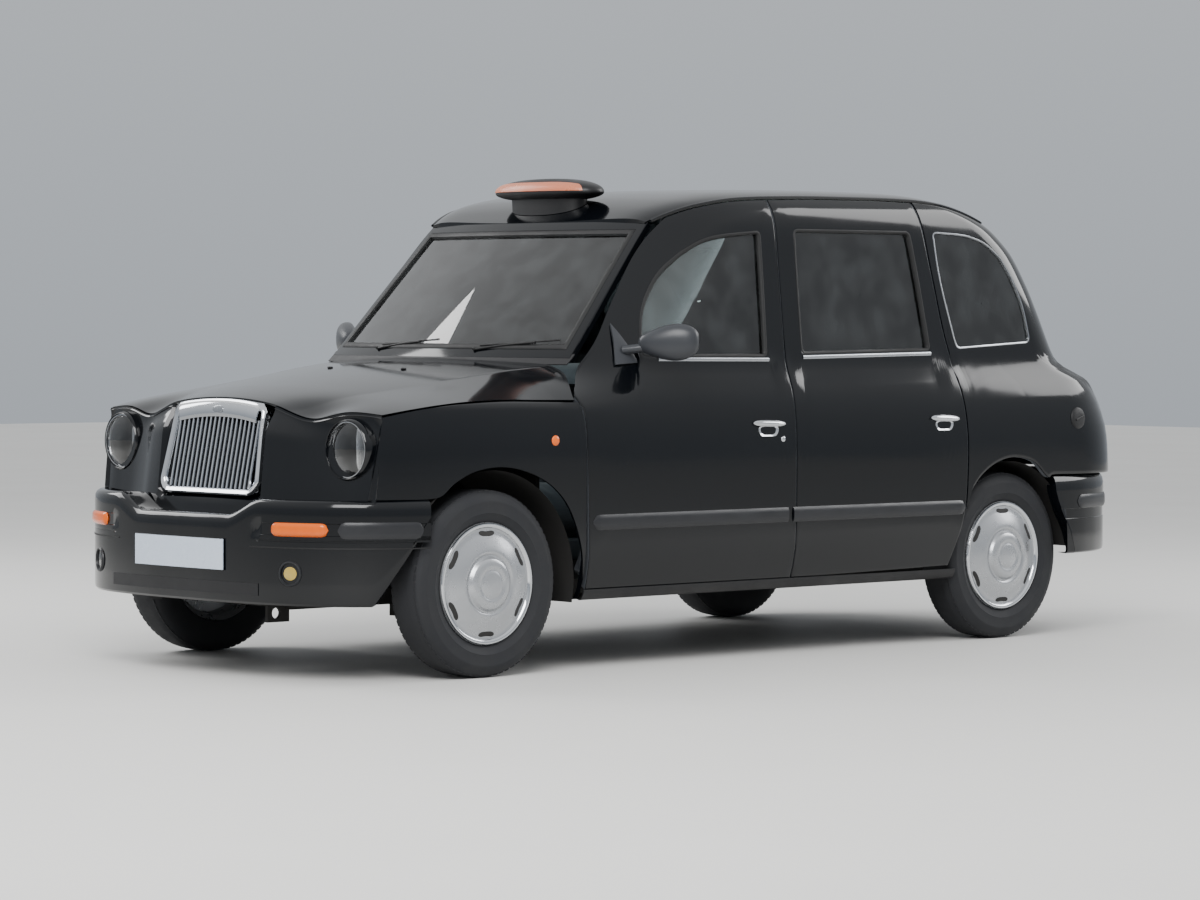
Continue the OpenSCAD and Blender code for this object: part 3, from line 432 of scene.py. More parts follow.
def prism(outline, move, bevel=0.0, m=1, segments=3):
    """A flat outline of points, extruded along move and bevelled."""
    deselect()
    bpy.ops.mesh.primitive_circle_add(vertices=len(outline), radius=1, fill_type="NGON")
    obj = bpy.context.object
    obj.data.vertices.foreach_set("co", np.array([place(p, m) for p in outline], np.float32).ravel())
    bpy.ops.object.mode_set(mode="EDIT")
    bpy.ops.mesh.select_all(action="SELECT")
    step = Vector((m * move[0], move[1], move[2])) / 1000
    bpy.ops.mesh.extrude_region_move(TRANSFORM_OT_translate={"value": step})
    bpy.ops.mesh.select_all(action="SELECT")
    bpy.ops.mesh.normals_make_consistent(inside=False)
    bpy.ops.object.mode_set(mode="OBJECT")
    if bevel:
        mod = obj.modifiers.new("edge", "BEVEL")
        mod.width = bevel / 1000
        mod.segments = segments
        mod.limit_method = "ANGLE"
        mod.angle_limit = math.radians(35)
        deselect()
        obj.select_set(True)
        bpy.context.view_layer.objects.active = obj
        bpy.ops.object.modifier_apply(modifier="edge")
    return obj


def tube(points, radius, sides=10, m=1, flat=1.0, up=(0, 0, 1)):
    """A round or flattened bar along a run of points, with rounded ends."""
    pts = [Vector(p) for p in points]
    rows = []
    for i, p in enumerate(pts):
        t = (pts[min(i + 1, len(pts) - 1)] - pts[max(i - 1, 0)]).normalized()
        a = t.cross(Vector(up)).normalized()
        b = a.cross(t)
        r = radius(i / (len(pts) - 1)) if callable(radius) else radius
        rows.append([p + a * (r * math.cos(k)) + b * (flat * r * math.sin(k))
                     for k in np.linspace(0, 2 * math.pi, sides, endpoint=False)])
    rows = [[pts[0]] * sides] + rows + [[pts[-1]] * sides]
    return grid_piece(rows, m, wrap_cols=True)


def block(x0, x1, s0, s1, z0, z1, bevel=8, m=1):
    return prism([(x0, s0, z0), (x1, s0, z0), (x1, s1, z0), (x0, s1, z0)], (0, 0, z1 - z0), bevel, m)


# ---- materials ----
def shade(hex_colour):
    """sRGB hex to a linear colour."""
    v = [int(hex_colour[i:i + 2], 16) / 255 for i in (0, 2, 4)]
    return [c / 12.92 if c <= 0.04045 else ((c + 0.055) / 1.055) ** 2.4 for c in v] + [1]


def node(tree, kind, inputs=None, **fields):
    """One shader node, with its fields, constants and links set."""
    n = tree.nodes.new(kind)
    for k, v in fields.items():
        setattr(n, k, v)
    for k, v in (inputs or {}).items():
        if isinstance(v, bpy.types.NodeSocket):
            tree.links.new(v, n.inputs[k])
        else:
            n.inputs[k].default_value = v
    return n


def finish_material(name, colour, other, rough, spread=0.08, metal=0.0, coat=0.0, grain=1.5, bump=0.0,
                    patch=180,
                    sheen=0.0, transmit=0.0, ior=1.45, glow=0.0, stretch=(1, 1, 1)):
    """A finish: two colours mixed by soft patches, with roughness, and bump from a grain in mm."""
    m = bpy.data.materials.new(name)
    m.use_nodes = True
    t = m.node_tree
    t.nodes.clear()
    place_ = node(t, "ShaderNodeTexCoord")
    scaled = node(t, "ShaderNodeMapping", {0: place_.outputs["Object"]}, vector_type="POINT")
    scaled.inputs["Scale"].default_value = stretch
    big = node(t, "ShaderNodeTexNoise", {"Vector": scaled.outputs[0], "Scale": 1000 / patch, "Detail": 4.0,
                                         "Roughness": 0.6})
    fine = node(t, "ShaderNodeTexNoise", {"Vector": scaled.outputs[0], "Scale": 1000 / grain,
                                          "Detail": 2.0})
    mixed = node(t, "ShaderNodeMix", {0: big.outputs["Fac"]}, data_type="RGBA")
    mixed.inputs[6].default_value = shade(colour)
    mixed.inputs[7].default_value = shade(other)
    worn = node(t, "ShaderNodeMapRange", {"Value": big.outputs["Fac"], "From Min": 0.35, "From Max": 0.7,
                                          "To Min": max(0.0, rough - spread),
                                          "To Max": min(1.0, rough + spread)})
    b = node(t, "ShaderNodeBsdfPrincipled", {"Base Color": mixed.outputs[2], "Roughness": worn.outputs[0],
                                             "Metallic": metal, "IOR": ior, "Coat Weight": coat,
                                             "Coat Roughness": 0.02, "Transmission Weight": transmit,
                                             "Sheen Weight": sheen})
    if glow:
        t.links.new(mixed.outputs[2], b.inputs["Emission Color"])
        b.inputs["Emission Strength"].default_value = glow
    if bump:
        rise = node(t, "ShaderNodeBump", {"Height": fine.outputs["Fac"], "Strength": 0.6,
                                          "Distance": bump / 1000})
        t.links.new(rise.outputs[0], b.inputs["Normal"])
    out = node(t, "ShaderNodeOutputMaterial", {"Surface": b.outputs[0]})
    out.location = (400, 0)
    m.diffuse_color = shade(colour)
    return m


def woven_material(name, colour, other, pitch):
    """Cloth: crossed threads of one pitch in mm, with soft colour patches."""
    m = finish_material(name, colour, other, 0.9, 0.06, sheen=0.4, grain=3, patch=90)
    t = m.node_tree
    b = next(n for n in t.nodes if n.type == "BSDF_PRINCIPLED")
    c = next(n for n in t.nodes if n.type == "TEX_COORD")
    threads = [node(t, "ShaderNodeTexWave", {"Vector": c.outputs["Object"], "Scale": 314 / pitch / 1.57,
                                             "Distortion": 0.4}, bands_direction=d) for d in ("X", "Z")]
    both = node(t, "ShaderNodeMath", {0: threads[0].outputs["Fac"], 1: threads[1].outputs["Fac"]},
                operation="MULTIPLY")
    rise = node(t, "ShaderNodeBump", {"Height": both.outputs[0], "Strength": 0.7, "Distance": 0.0006})
    t.links.new(rise.outputs[0], b.inputs["Normal"])
    return m


def glass_material(name, colour, tint, rough=0.0):
    """Thin sheet glass that light passes straight through: a tinted see-through sheet under a clear shine."""
    m = bpy.data.materials.new(name)
    m.use_nodes = True
    t = m.node_tree
    t.nodes.clear()
    c = node(t, "ShaderNodeTexCoord")
    dust = node(t, "ShaderNodeTexNoise", {"Vector": c.outputs["Object"], "Scale": 9.0, "Detail": 6.0})
    amount = node(t, "ShaderNodeMapRange", {"Value": dust.outputs["Fac"], "From Min": 0.4, "From Max": 0.8,
                                            "To Min": 0.0, "To Max": 0.05})
    clear = node(t, "ShaderNodeBsdfTransparent", {"Color": shade(colour)})
    film = node(t, "ShaderNodeBsdfDiffuse", {"Color": shade(tint)})
    see = node(t, "ShaderNodeMixShader", {0: amount.outputs[0], 1: clear.outputs[0], 2: film.outputs[0]})
    shine = node(t, "ShaderNodeBsdfGlossy", {"Color": (1, 1, 1, 1), "Roughness": rough})
    edge = node(t, "ShaderNodeFresnel", {"IOR": 1.5})
    lift = node(t, "ShaderNodeMath", {0: edge.outputs[0], 1: 1.5}, operation="MULTIPLY", use_clamp=True)
    both = node(t, "ShaderNodeMixShader", {0: lift.outputs[0], 1: see.outputs[0], 2: shine.outputs[0]})
    node(t, "ShaderNodeOutputMaterial", {"Surface": both.outputs[0]})
    m.diffuse_color = shade(colour)[:3] + [0.4]
    return m


def make_materials():
    f = finish_material
    return {
        "paint": f("black_gloss_paint", "05070A", "080A0E", 0.09, 0.03, grain=14, bump=0.02, patch=900),
        "paint_flat": f("black_paint_inside", "0A0A0B", "141416", 0.45, 0.1, grain=3, bump=0.05),
        "chrome": f("polished_chrome", "D9DBDE", "C4C7CB", 0.08, 0.05, metal=1.0, grain=20, bump=0.01),
        "bright": f("satin_bright_trim", "B9BCC0", "8E9196", 0.25, 0.08, metal=1.0, grain=6, bump=0.02),
        "rubber": f("black_seal_rubber", "0B0B0C", "161617", 0.6, 0.1, grain=2, bump=0.08),
        "insert": f("satin_black_moulding", "1A1B1E", "232427", 0.38, 0.08, grain=1.2, bump=0.06),
        "mirror_plastic": f("dark_grey_moulding", "2A2C30", "35373B", 0.36, 0.06, grain=1.0, bump=0.05),
        "plastic": f("black_moulding", "0E0E10", "19191B", 0.5, 0.1, grain=1.4, bump=0.08),
        "cabin": f("grey_cabin_trim", "5A5D62", "4C4F54", 0.62, 0.08, grain=1.6, bump=0.12),
        "lining": f("pale_roof_lining", "C9C8C2", "BAB9B4", 0.9, 0.05, grain=1.1, bump=0.1),
        "lens": glass_material("clear_lamp_lens", "FBFCFD", "E8ECEF"),
        "reflector": f("lamp_reflector", "EEF0F1", "DADCDF", 0.3, 0.05, metal=0.7, grain=12, bump=0.3,
                       glow=0.12),
        "amber": f("amber_lens", "CE4E08", "E06C14", 0.12, 0.05, grain=8, bump=0.4, patch=60, glow=0.04),
        "orange": f("orange_marker_lens", "DE5A10", "E8701E", 0.15, 0.05, grain=5, bump=0.3, glow=0.08),
        "yellow": f("yellow_lamp_lens", "E9C24A", "F2D984", 0.1, 0.05, transmit=0.5, grain=9, bump=0.4,
                    patch=40),
        "red": f("red_lamp_lens", "9A0B0B", "B81A12", 0.12, 0.05, transmit=0.3, grain=7, bump=0.4,
                 patch=60),
        "sign_window": f("sign_window_amber", "D98A62", "C46F58", 0.3, 0.08, transmit=0.25, grain=6,
                         bump=0.1,
                         patch=90, glow=0.12),
        "plate": f("pale_plate", "C9D3E0", "BAC6D6", 0.3, 0.08, coat=0.4, grain=2, bump=0.03, patch=120),
        "paper": f("white_paper", "E6E6E2", "D5D6D2", 0.85, 0.05, grain=1, bump=0.03, patch=30),
        "silver": f("silver_wheel_paint", "B6B8BB", "ABADB0", 0.3, 0.05, metal=0.8, grain=2, bump=0.04,
                    patch=60),
        "vent": f("wheel_vent_dark", "1A1A1B", "2A2826", 0.7, 0.1, grain=2, bump=0.1),
        # vent: painted shade, dark patches standing in for the shaded openings of the wheel-cover vents
        "tread": f("tyre_rubber", "17181A", "25262A", 0.78, 0.1, grain=1.8, bump=0.25, patch=120),
        "under": f("underbody_sealer", "131313", "1D1B19", 0.85, 0.08, grain=6, bump=0.5, patch=200),
        "casting": f("cast_iron_dull", "2C2B2A", "3C3733", 0.75, 0.1, metal=0.6, grain=2.5, bump=0.3,
                     patch=80),
        "steel": f("dull_exhaust_steel", "5A554F", "3F3A36", 0.5, 0.15, metal=0.9, grain=4, bump=0.15,
                   patch=110),
        "cloth": woven_material("woven_seat_cloth", "33373D", "3F454D", 2.2),
        "vinyl": f("grained_seat_vinyl", "26282C", "303338", 0.5, 0.08, grain=2.4, bump=0.22, patch=150),
        "glass": glass_material("tinted_window_glass", "E2ECEC", "AEB6B8"),
        "screen": glass_material("windscreen_glass", "EAF1F1", "B4BCBE"),
        "shade_band": f("black_glass_edge", "070708", "0C0C0E", 0.15, 0.04, grain=3, bump=0.02),
        "floor": f("pale_studio_floor", "D9D8D5", "D2D1CE", 0.6, 0.08, grain=5, bump=0.05, patch=1500),
    }


MATERIALS = {}


def mats(*names):
    return [MATERIALS[n] for n in names]


# ---- panels ----
FINE = [0, 0.012, 0.03, 0.06, 0.1, 0.15, 0.21, 0.28, 0.36, 0.45, 0.54, 0.63, 0.71, 0.79, 0.86, 0.92, 0.96,
        0.985, 1]


def panel_rows(out, win, frame, rim_depth, deep=True):
    """Rows of a framed panel, from its outer edge over the skin to its window and round the inside."""
    a, b = inset(out, 2.5), inset(win, -2.5)
    rows = [on_skin(inset(out, 0.4), 5), on_skin(out, 2.2), on_skin(inset(out, 0.9), 0.6), on_skin(a, 0)]
    rows += [on_skin(mix(a, b, t), 0) for t in FINE[1:]]
    rows += [on_skin(inset(win, -0.7), 0.7), on_skin(win, 2.4), on_skin(win, frame)]
    first = len(rows) - 1
    if deep:
        rim = np.array([p + (q - p) * 48 / max(1, np.linalg.norm(q - p)) for p, q in zip(out, win)])
        thin = inset(out, 13)
        rim = np.array([mix(r, t, smooth(1000, 1150, r[1])) for r, t in zip(inset(out, 48), thin)])
        rows += [deep_skin(mix(out, win, 0.72), rim_depth, frame), deep_skin(rim, rim_depth, frame),
                 on_skin(rim, 28),
                 on_skin(inset(out, 5), 28)]
    return rows, first


def make_doors():
    made = []
    for which, out, win, counts in (("front", DOOR_F, WIN_F, (44, 36, 34, 64)),
                                    ("rear", DOOR_R, WIN_R, (44, 48, 34, 40))):
        o, w = loop(out, counts), loop(win, counts)
        rows, first = panel_rows(o, w, 43, 104)
        for name, m in SIDES:
            obj = grid_piece(rows, m, wrap_cols=True, wrap_rows=True, bands=((first, 1),))
            made.append(finish_piece(obj, f"door_skin_{which}_{name}", f"door_{which}_{name}_body",
                                     mats("paint", "cabin"), 30, (f"door_{which}_{name}",)))
    return made


def make_door_glass():
    for which, win, counts in (("front", WIN_F, (44, 36, 34, 64)), ("rear", WIN_R, (44, 48, 34, 40))):
        w = loop(win, counts)
        c = w.mean(axis=0)
        pane = [mix(inset(w, 0.4), c, t) for t in (0, 0.03, 0.12, 0.25, 0.4, 0.55, 0.7, 0.85, 0.99)]
        rows = [on_skin(p, 16) for p in pane] + [on_skin(p, 20) for p in pane[::-1]]
        seal = [on_skin(inset(w, a), d) for a, d in ((-2, -0.4), (3, -1.6), (8, 0.6), (11, 9), (11, 15.6),
                                                     (0.5, 15.6), (-0.4, 3))]
        for name, m in SIDES:
            body = f"door_{which}_{name}_body"
            finish_piece(grid_piece(rows, m, wrap_cols=True, wrap_rows=True), f"glass_{which}_{name}", body,
                         mats("glass"), 30, (f"window_{which}_{name}",))
            finish_piece(grid_piece(seal, m, wrap_cols=True, wrap_rows=True), f"seal_{which}_{name}", body,
                         mats("rubber"), 50, ())


def make_quarters():
    """Rear side panels, rear window surround, lower rear panel and wheel arch linings."""
    def share(line):
        return np.array([((p[0] - 2430) / (rear_edge(p[1])[0] - 2430), p[1]) for p in line])

    def unshare(line):
        return np.array([(2430 + p[0] * (rear_edge(p[1])[0] - 2430), p[1]) for p in line])
    counts = (84, 56, 40, 60)
    o, w = loop(QUARTER, counts), loop(WIN_Q, counts)
    so, sw = share(o), share(w)
    rows = [on_skin(o, 6), on_skin(o, 1.4)] + [on_skin(unshare(mix(so, sw, t)), 0) for t in FINE[1:-1]]
    rows += [on_skin(inset(w, -1), 0.3), on_skin(w, 2.4)] + [on_skin(w, 24)]
    first = len(rows) - 1
    rows += [on_skin(unshare(mix(so, sw, t)), 24) for t in (0.72, 0.36, 0)]
    pane = [mix(inset(w, 0.4), w.mean(axis=0), t) for t in (0, 0.1, 0.3, 0.5, 0.7, 0.85, 0.99)]
    glass = [on_skin(p, 8) for p in pane] + [on_skin(p, 12) for p in pane[::-1]]
    trim = [on_skin(inset(w, a), d) for a, d in ((-4, -0.2), (-1, -2.2), (3, -1), (4, 7.6), (0, 7.6),
                                                 (-1, 1))]
    for name, m in SIDES:
        finish_piece(grid_piece(rows, m, wrap_cols=True, wrap_rows=True, bands=((first, 1),)),
                     f"rear_quarter_{name}",
                     "body", mats("paint", "cabin"), 30, ("rear_body",))
        finish_piece(grid_piece(glass, m, wrap_cols=True, wrap_rows=True), f"quarter_glass_{name}", "body",
                     mats("glass"), 30, ("fixed_windows",))
        finish_piece(grid_piece(trim, m, wrap_cols=True, wrap_rows=True), f"quarter_trim_{name}", "body",
                     mats("bright"), 40, ())
        liner = [[(x, 2890 + r * math.cos(a), 343 + r * math.sin(a)) for x in (640, 700, 780, 862)]
                 for r, a in [(389, math.radians(k)) for k in range(4, 160, 4)]]
        wall = [[(x, 2890 + r * math.cos(a), 343 + r * math.sin(a)) for r in (392, 300, 180, 80)]
                for x, a in [(640, math.radians(k)) for k in range(0, 182, 6)]]
        finish_piece(join([grid_piece(liner, m), grid_piece(wall, m)]), f"rear_arch_lining_{name}", "body",
                     mats("under"), 40, ())

    def edge_x(z):
        return mix(600, 612, smooth(1130, 1165, z)) + 38 * smooth(1500, 1680, z)
    n = 12
    out = ([(x, 1096) for x in np.linspace(-597, 597, 48, endpoint=False)]
           + [(edge_x(z) - 3, z) for z in np.linspace(1096, 1696, 36, endpoint=False)]
           + [(x, 1696) for x in np.linspace(646, -646, 48, endpoint=False)]
           + [(3 - edge_x(z), z) for z in np.linspace(1696, 1096, 36, endpoint=False)])
    win = ([(570 * u, 1196 + 10 * u ** 4) for u in np.linspace(-1, 1, 48, endpoint=False)]
           + [(mix(570, 525, u), mix(1206, 1600, u)) for u in np.linspace(0, 1, 36, endpoint=False)]
           + [(525 * u, 1632 - 32 * u ** 4) for u in np.linspace(1, -1, 48, endpoint=False)]
           + [(-mix(525, 570, u), mix(1600, 1206, u)) for u in np.linspace(0, 1, 36, endpoint=False)])
    out, win = np.array(out), np.array(win)

    def row(line, d):
        return [(p[0], tail_s(p[0], p[1]) - d * 0.9, p[1] - d * 0.3) for p in line]
    rows = [row(out, 8)] + [row(mix(out, win, t), 0) for t in np.linspace(0, 1, n)] + [row(win, 24),
                                                                                       row(out, 24)]
    finish_piece(grid_piece(rows, wrap_cols=True, wrap_rows=True), "rear_window_surround", "body",
                 mats("paint"), 30,
                 ("rear_body",))
    pane = [mix(win, win.mean(axis=0), t) for t in (0.002, 0.04, 0.15, 0.3, 0.5, 0.7, 0.85, 0.99)]
    finish_piece(grid_piece([row(p, 8) for p in pane] + [row(p, 12) for p in pane[::-1]], wrap_cols=True,
                            wrap_rows=True), "rear_glass", "body", mats("glass"), 30, ("fixed_windows",))
    seal = [row(mix(win, win.mean(axis=0), a), d) for a,
            d in ((-0.02, -0.5), (0.01, -2.5), (0.03, 0), (0.032, 7.6), (0, 7.6))]
    finish_piece(grid_piece(seal, wrap_cols=True, wrap_rows=True), "rear_glass_seal", "body",
                 mats("rubber"), 50, ())
    low = [[(x, tail_s(x, z) - d, z) for x in np.linspace(-640, 640, 41)] for z,
           d in ((342, 62), (655, 62), (676, 22))]
    finish_piece(shell(low, 16), "lower_rear_panel", "body", mats("paint_flat"), 30, ("rear_body",))
    lens = [[skin(wrap_at(x, z), z, -14 + 8 * max(abs(x - 665) / 45, abs(z - 802) / 82) ** 6)
             for x in np.linspace(620, 710, 11)] for z in np.linspace(720, 885, 15)]
    for name, m in SIDES:
        finish_piece(shell(lens, 9, m), f"tail_lamp_{name}", "body", mats("red"), 40, ("signal_lamps",))


def make_wings():
    top = [(-452, 950), (-380, 965), (-300, 978), (-200, 989), (-118, 995), (70, 1002), (260, 1000),
           (400, 998),
           (430, 998)]
    low = [(-500, 657), (-400, 657), (-300, 657), (-255, 660), (-225, 668), (-170, 712), (-81, 752),
           (35, 767),
           (155, 750), (279, 700), (370, 620), (430, 500), (462, 357), (474, 270)]
    cols = 90
    tops = along(top, cols - 12, True) + [np.array(p) for p in
                                          along([(434, 997), (441, 985), (447, 968), (455, 950)], 12, True)]
    lows = along(low, cols, True)
    vs = np.linspace(0, 1, 34)
    rows = []
    for v in vs:
        row = []
        for i in range(cols):
            p = mix(lows[i], tops[i], v)
            e = smooth(cols - 25, cols - 1, i)
            row.append((min(p[0] + 10 * math.sin(math.pi * v) * e, 464), p[1]))
        rows.append(row)
    outer = [on_skin(r, 0) for r in rows]
    lip = [[skin(q, z, 9) for q, z in rows[0]], [skin(q, z + 1, 1.5) for q, z in rows[0]]]
    top_lip = [[skin(q, z, 0) + Vector((-2, 0, 1)) for q, z in rows[-1]],
               [skin(q, z, 14) + Vector((0, 0, -14)) for q, z in rows[-1]]]
    sheet = lip + outer + top_lip
    end = [[Vector(r[-1]), Vector(r[-1]) + Vector((-9, 0, 0)), Vector(r[-1]) + Vector((-20, -2, 0))]
           for r in sheet]
    front = [[Vector(r[0]), Vector(r[0]) + Vector((-9, 3, 0)), Vector(r[0]) + Vector((-20, 8, 0))]
             for r in sheet]
    liner = [[(x, 15 + 412 * math.cos(a), 343 + 412 * math.sin(a)) for x in (440, 560, 700, 800, 862)]
             for a in [math.radians(k) for k in range(-12, 154, 4)]]
    for name, m in SIDES:
        finish_piece(join([grid_piece(sheet, m), grid_piece(end, m), grid_piece(front, m)]),
                     f"front_wing_{name}",
                     "body", mats("paint"), 30, ("front_wings",))
        finish_piece(grid_piece(liner, m), f"front_arch_lining_{name}", "body", mats("under"), 40, ())


def make_bonnet():
    us = np.concatenate([-np.linspace(1, 0, 60) ** 0.85, np.linspace(0, 1, 60)[1:] ** 0.85])
    vs = np.linspace(0, 1, 90)

    def at(u, v):
        s = mix(spl(BONNET_FRONT, abs(u)), spl(BONNET_REAR, abs(u)), v)
        x = u * (bonnet_half(s) - 1)
        return (x, s, bonnet_z(s, x))

    def below(u, v):
        s = mix(spl(BONNET_FRONT, abs(u)), spl(BONNET_REAR, abs(u)), v)
        h = bonnet_half(s)
        x = u * (h - 1)
        return (x * (1 - 32 / h), s - 5 * v, bonnet_z(s, x) - bonnet_drop(s) + 1)
    outer = [[at(u, v) for u in us] for v in vs]
    inner = [[below(u, v) for u in us] for v in vs]

    def ring(rows):
        return (list(rows[0]) + [r[-1] for r in rows[1:]] + list(rows[-1][::-1])[1:] + [r[0]
                for r in rows[::-1]][1:-1])
    a, b = ring(outer), ring(inner)
    edge = [a, [mix(Vector(p), Vector(q), 0.12) + Vector((0, 0, -1.2)) for p, q in zip(a, b)], b]
    obj = join([grid_piece(outer), grid_piece(inner), grid_piece(edge, wrap_cols=True)])
    finish_piece(obj, "bonnet_skin", "bonnet_body", mats("paint"), 30, ("bonnet",))
    for m in (1, -1):
        s, x = 150, 215
        z = bonnet_z(s, x)
        jet = [(x + 13 * math.cos(k), s + 9 * math.sin(k), z - 1)
               for k in np.linspace(0, 2 * math.pi, 16, endpoint=False)]
        finish_piece(prism(jet, (0, 0, 7), 3, m), f"washer_jet_{'left' if m > 0 else 'right'}",
                     "bonnet_body",
                     mats("plastic"), 40, ())


def make_roof():
    us = np.sign(np.linspace(-1, 1, 81)) * np.abs(np.linspace(-1, 1, 81)) ** 0.72
    vs = np.linspace(0, 1, 110)

    def at(u, v, under):
        s = mix(962 + 62 * u * u, 2996 - 45 * u * u, v)
        e = tail_x(s, roof_edge_z(s))
        d = under * mix(29, 7, smooth(0.86, 1, abs(u)))
        return (u * (e - under * 9), s, roof_z(s, u * e) - d)
    outer = [[at(u, v, 0) for u in us] for v in vs]
    inner = [[at(u, v, 1) for u in us] for v in vs]
    edge = [list(r) for r in zip(*([(outer[i][-1], inner[i][-1]) for i in range(len(vs))]))]
    edge2 = [list(r) for r in zip(*([(outer[i][0], inner[i][0]) for i in range(len(vs))]))]
    ends = [[outer[0], inner[0]], [outer[-1], inner[-1]]]
    obj = join([grid_piece(outer), grid_piece(edge), grid_piece(edge2)] + [grid_piece(e) for e in ends])
    finish_piece(obj, "roof_skin", "body", mats("paint"), 30, ("roof_panel",))
    finish_piece(grid_piece(inner), "roof_lining", "body", mats("lining"), 30, ("roof_panel",))
    for name, m in SIDES:
        rail = [[skin(s, roof_edge_z(s) - 6 + k[1], k[0]) for s in np.linspace(1040, 2860, 90)]
                for k in ((-1, -5), (-7, -3), (-8, 1), (-5, 4), (0, 5))]
        finish_piece(shell(rail, 1.5, m), f"drip_rail_{name}", "body", mats("paint"), 50, ())


def make_boot():
    zs = np.array(along([(0, 684), (0, 1094)], 60, True))[:, 1]

    def row(z, d):
        out = []
        for x in np.linspace(-589, 589, 81):
            g = (tail_s(x, z + 3) - tail_s(x, z - 3)) / 6
            k = math.sqrt(1 + g * g)
            out.append((x * (1 - 12 * d / 36 / 588), tail_s(x, z) - d / k, z + d * g / k))
        return out
    outer, inner = [row(z, 0) for z in zs], [row(z, 34) for z in zs]

    def ring(rows):
        return (list(rows[0]) + [r[-1] for r in rows[1:]] + list(rows[-1][::-1])[1:] + [r[0]
                for r in rows[::-1]][1:-1])
    a, b = ring(outer), ring(inner)
    obj = join([grid_piece(outer), grid_piece(inner), grid_piece([a, b], wrap_cols=True)])
    finish_piece(obj, "boot_lid_skin", "boot_lid_body", mats("paint"), 30, ("boot_lid",))
    path = [(x, tail_s(x, 780) + 9, 780 + 5 * (1 - (x / 150) ** 2)) for x in np.linspace(-150, 150, 24)]
    finish_piece(tube(path, 9, 12), "boot_handle", "boot_lid_body", mats("chrome"), 50, ())
    lamp = [(70 * math.cos(k) ** 3, tail_s(0, 820) + 1, 820 + 18 * math.sin(k))
            for k in np.linspace(0, 2 * math.pi, 24, endpoint=False)]
    finish_piece(prism(lamp, (0, 14, 0), 3), "boot_plate_lamp", "boot_lid_body", mats("plastic"), 40, ())


def make_front_panel():
    """The nose panel between the wings, with a pod for each headlamp."""
    plan = [(0, -600), (150, -598), (285, -590), (380, -566), (470, -532), (560, -504), (650, -487),
            (730, -474), (800, -456)]
    half = along(plan, 60, True)
    full = [(-x, s) for x, s in half[::-1]][:-1] + [tuple(p) for p in half]

    def band(x, s, v):
        a = abs(x)
        low = 570 + 75 * smooth(250, 430, a)
        seam = spl(BONNET_FRONT, min(1, a / (bonnet_half(-490) - 1))) - 5
        high = bonnet_z(seam, a) - 2 - 34 * (1 - smooth(262, 292, a))
        z = mix(low, high, v)
        back = 62 * (1 - smooth(280, 297, a)) * smooth(640, 668, z)
        t = smooth(0.7, 1, v) ** 1.6
        return (x, mix(mix(s - 30, s + 10, v), seam, t) + back, z)
    rows = [[band(x, s, v) for x, s in full] for v in np.linspace(0, 1, 34)]
    lip = [[(p[0], p[1] + 1, p[2] - 9) for p in rows[-1]]]
    finish_piece(shell(rows + lip, 5), "nose_panel", "body", mats("paint"), 30, ("front_panel",))
    for name, m in SIDES:
        cowl = []
        for t in np.linspace(0, 1, 12):
            row = []
            for k in np.linspace(0, 2 * math.pi, 72, endpoint=False):
                rise, out = max(0.0, math.sin(k)), math.cos(k)
                r = mix(mix(106, 112, smooth(0, 0.15, t)), mix(112, 116, t) + 16 * rise * t,
                        smooth(0.1, 1, t))
                reach = mix(40, 92, 0.5 + 0.5 * math.sin(k)) + 26 * max(0.0, -out) * (k > 0)
                row.append((667 + r * out, -512 + 6 * out + mix(0, reach, t), 834 + r * math.sin(k)))
            cowl.append(row)
        rim = [[(667 + r * math.cos(k), -512 + 6 * math.cos(k) + y, 834 + r * math.sin(k))
                for k in np.linspace(0, 2 * math.pi, 72, endpoint=False)]
               for r, y in ((102, 30), (102, 6), (103.5, 0), (105, -1))]
        pod = grid_piece(rim + cowl, m, wrap_cols=True)
        finish_piece(pod, f"headlamp_pod_{name}", "body", mats("paint"), 40, ())
        ring = lathe([(97, 6), (98, 1), (100.6, 1), (101.2, 6), (101.2, 16), (97, 16)], (667, -507, 834),
                     (0, 1, 0), 72, m)
        finish_piece(ring, f"headlamp_ring_{name}", "body", mats("chrome"), 40, ())
        dome = [(0.2, -12), (30, -11.2), (60, -8), (85, -2.5), (98, 3), (98, 6), (85, 1), (60, -4.5),
                (30, -7.7), (0.2, -8.5)]
        finish_piece(lathe(dome, (667, -500, 834), (0, 1, 0), 72, m), f"headlamp_lens_{name}", "body",
                     mats("lens"), 40,
                     ("front_lamps",))
        bowl = [(97, 8), (88, 30), (70, 52), (44, 68), (18, 74), (0.2, 74)]
        finish_piece(lathe(bowl, (667, -500, 834), (0, 1, 0), 64, m), f"headlamp_reflector_{name}", "body",
                     mats("reflector"), 40, ())
        bulb = lathe([(0.2, 18), (14, 20), (19, 28), (19, 38), (12, 44), (7, 60), (7, 72)],
                     (667, -500, 834), (0, 1, 0), 32, m)
        finish_piece(bulb, f"headlamp_bulb_{name}", "body", mats("reflector"), 40, ())
        fog = [(0.2, 0), (20, 0.8), (33, 4), (38, 9), (38, 16), (34, 12), (20, 5), (0.2, 4)]
        finish_piece(lathe(fog, (565, -683, 392), (-0.36, 0.933, 0), 48, m), f"fog_lens_{name}", "body",
                     mats("yellow" if m > 0 else "lens"), 40, ("front_lamps",))
        finish_piece(lathe([(36, 14), (26, 26), (10, 33), (0.2, 34)], (565, -683, 392), (-0.36, 0.933, 0),
                           48, m),
                     f"fog_reflector_{name}", "body", mats("reflector"), 40, ())
        c = skin(308, 859, 0)
        dot = lathe([(0.2, 8), (9, 7), (16, 4), (19, 0.6), (19, -2)], tuple(c), (1, 0, 0), 40, m)
        finish_piece(dot, f"side_marker_{name}", "body", mats("orange"), 40, ())


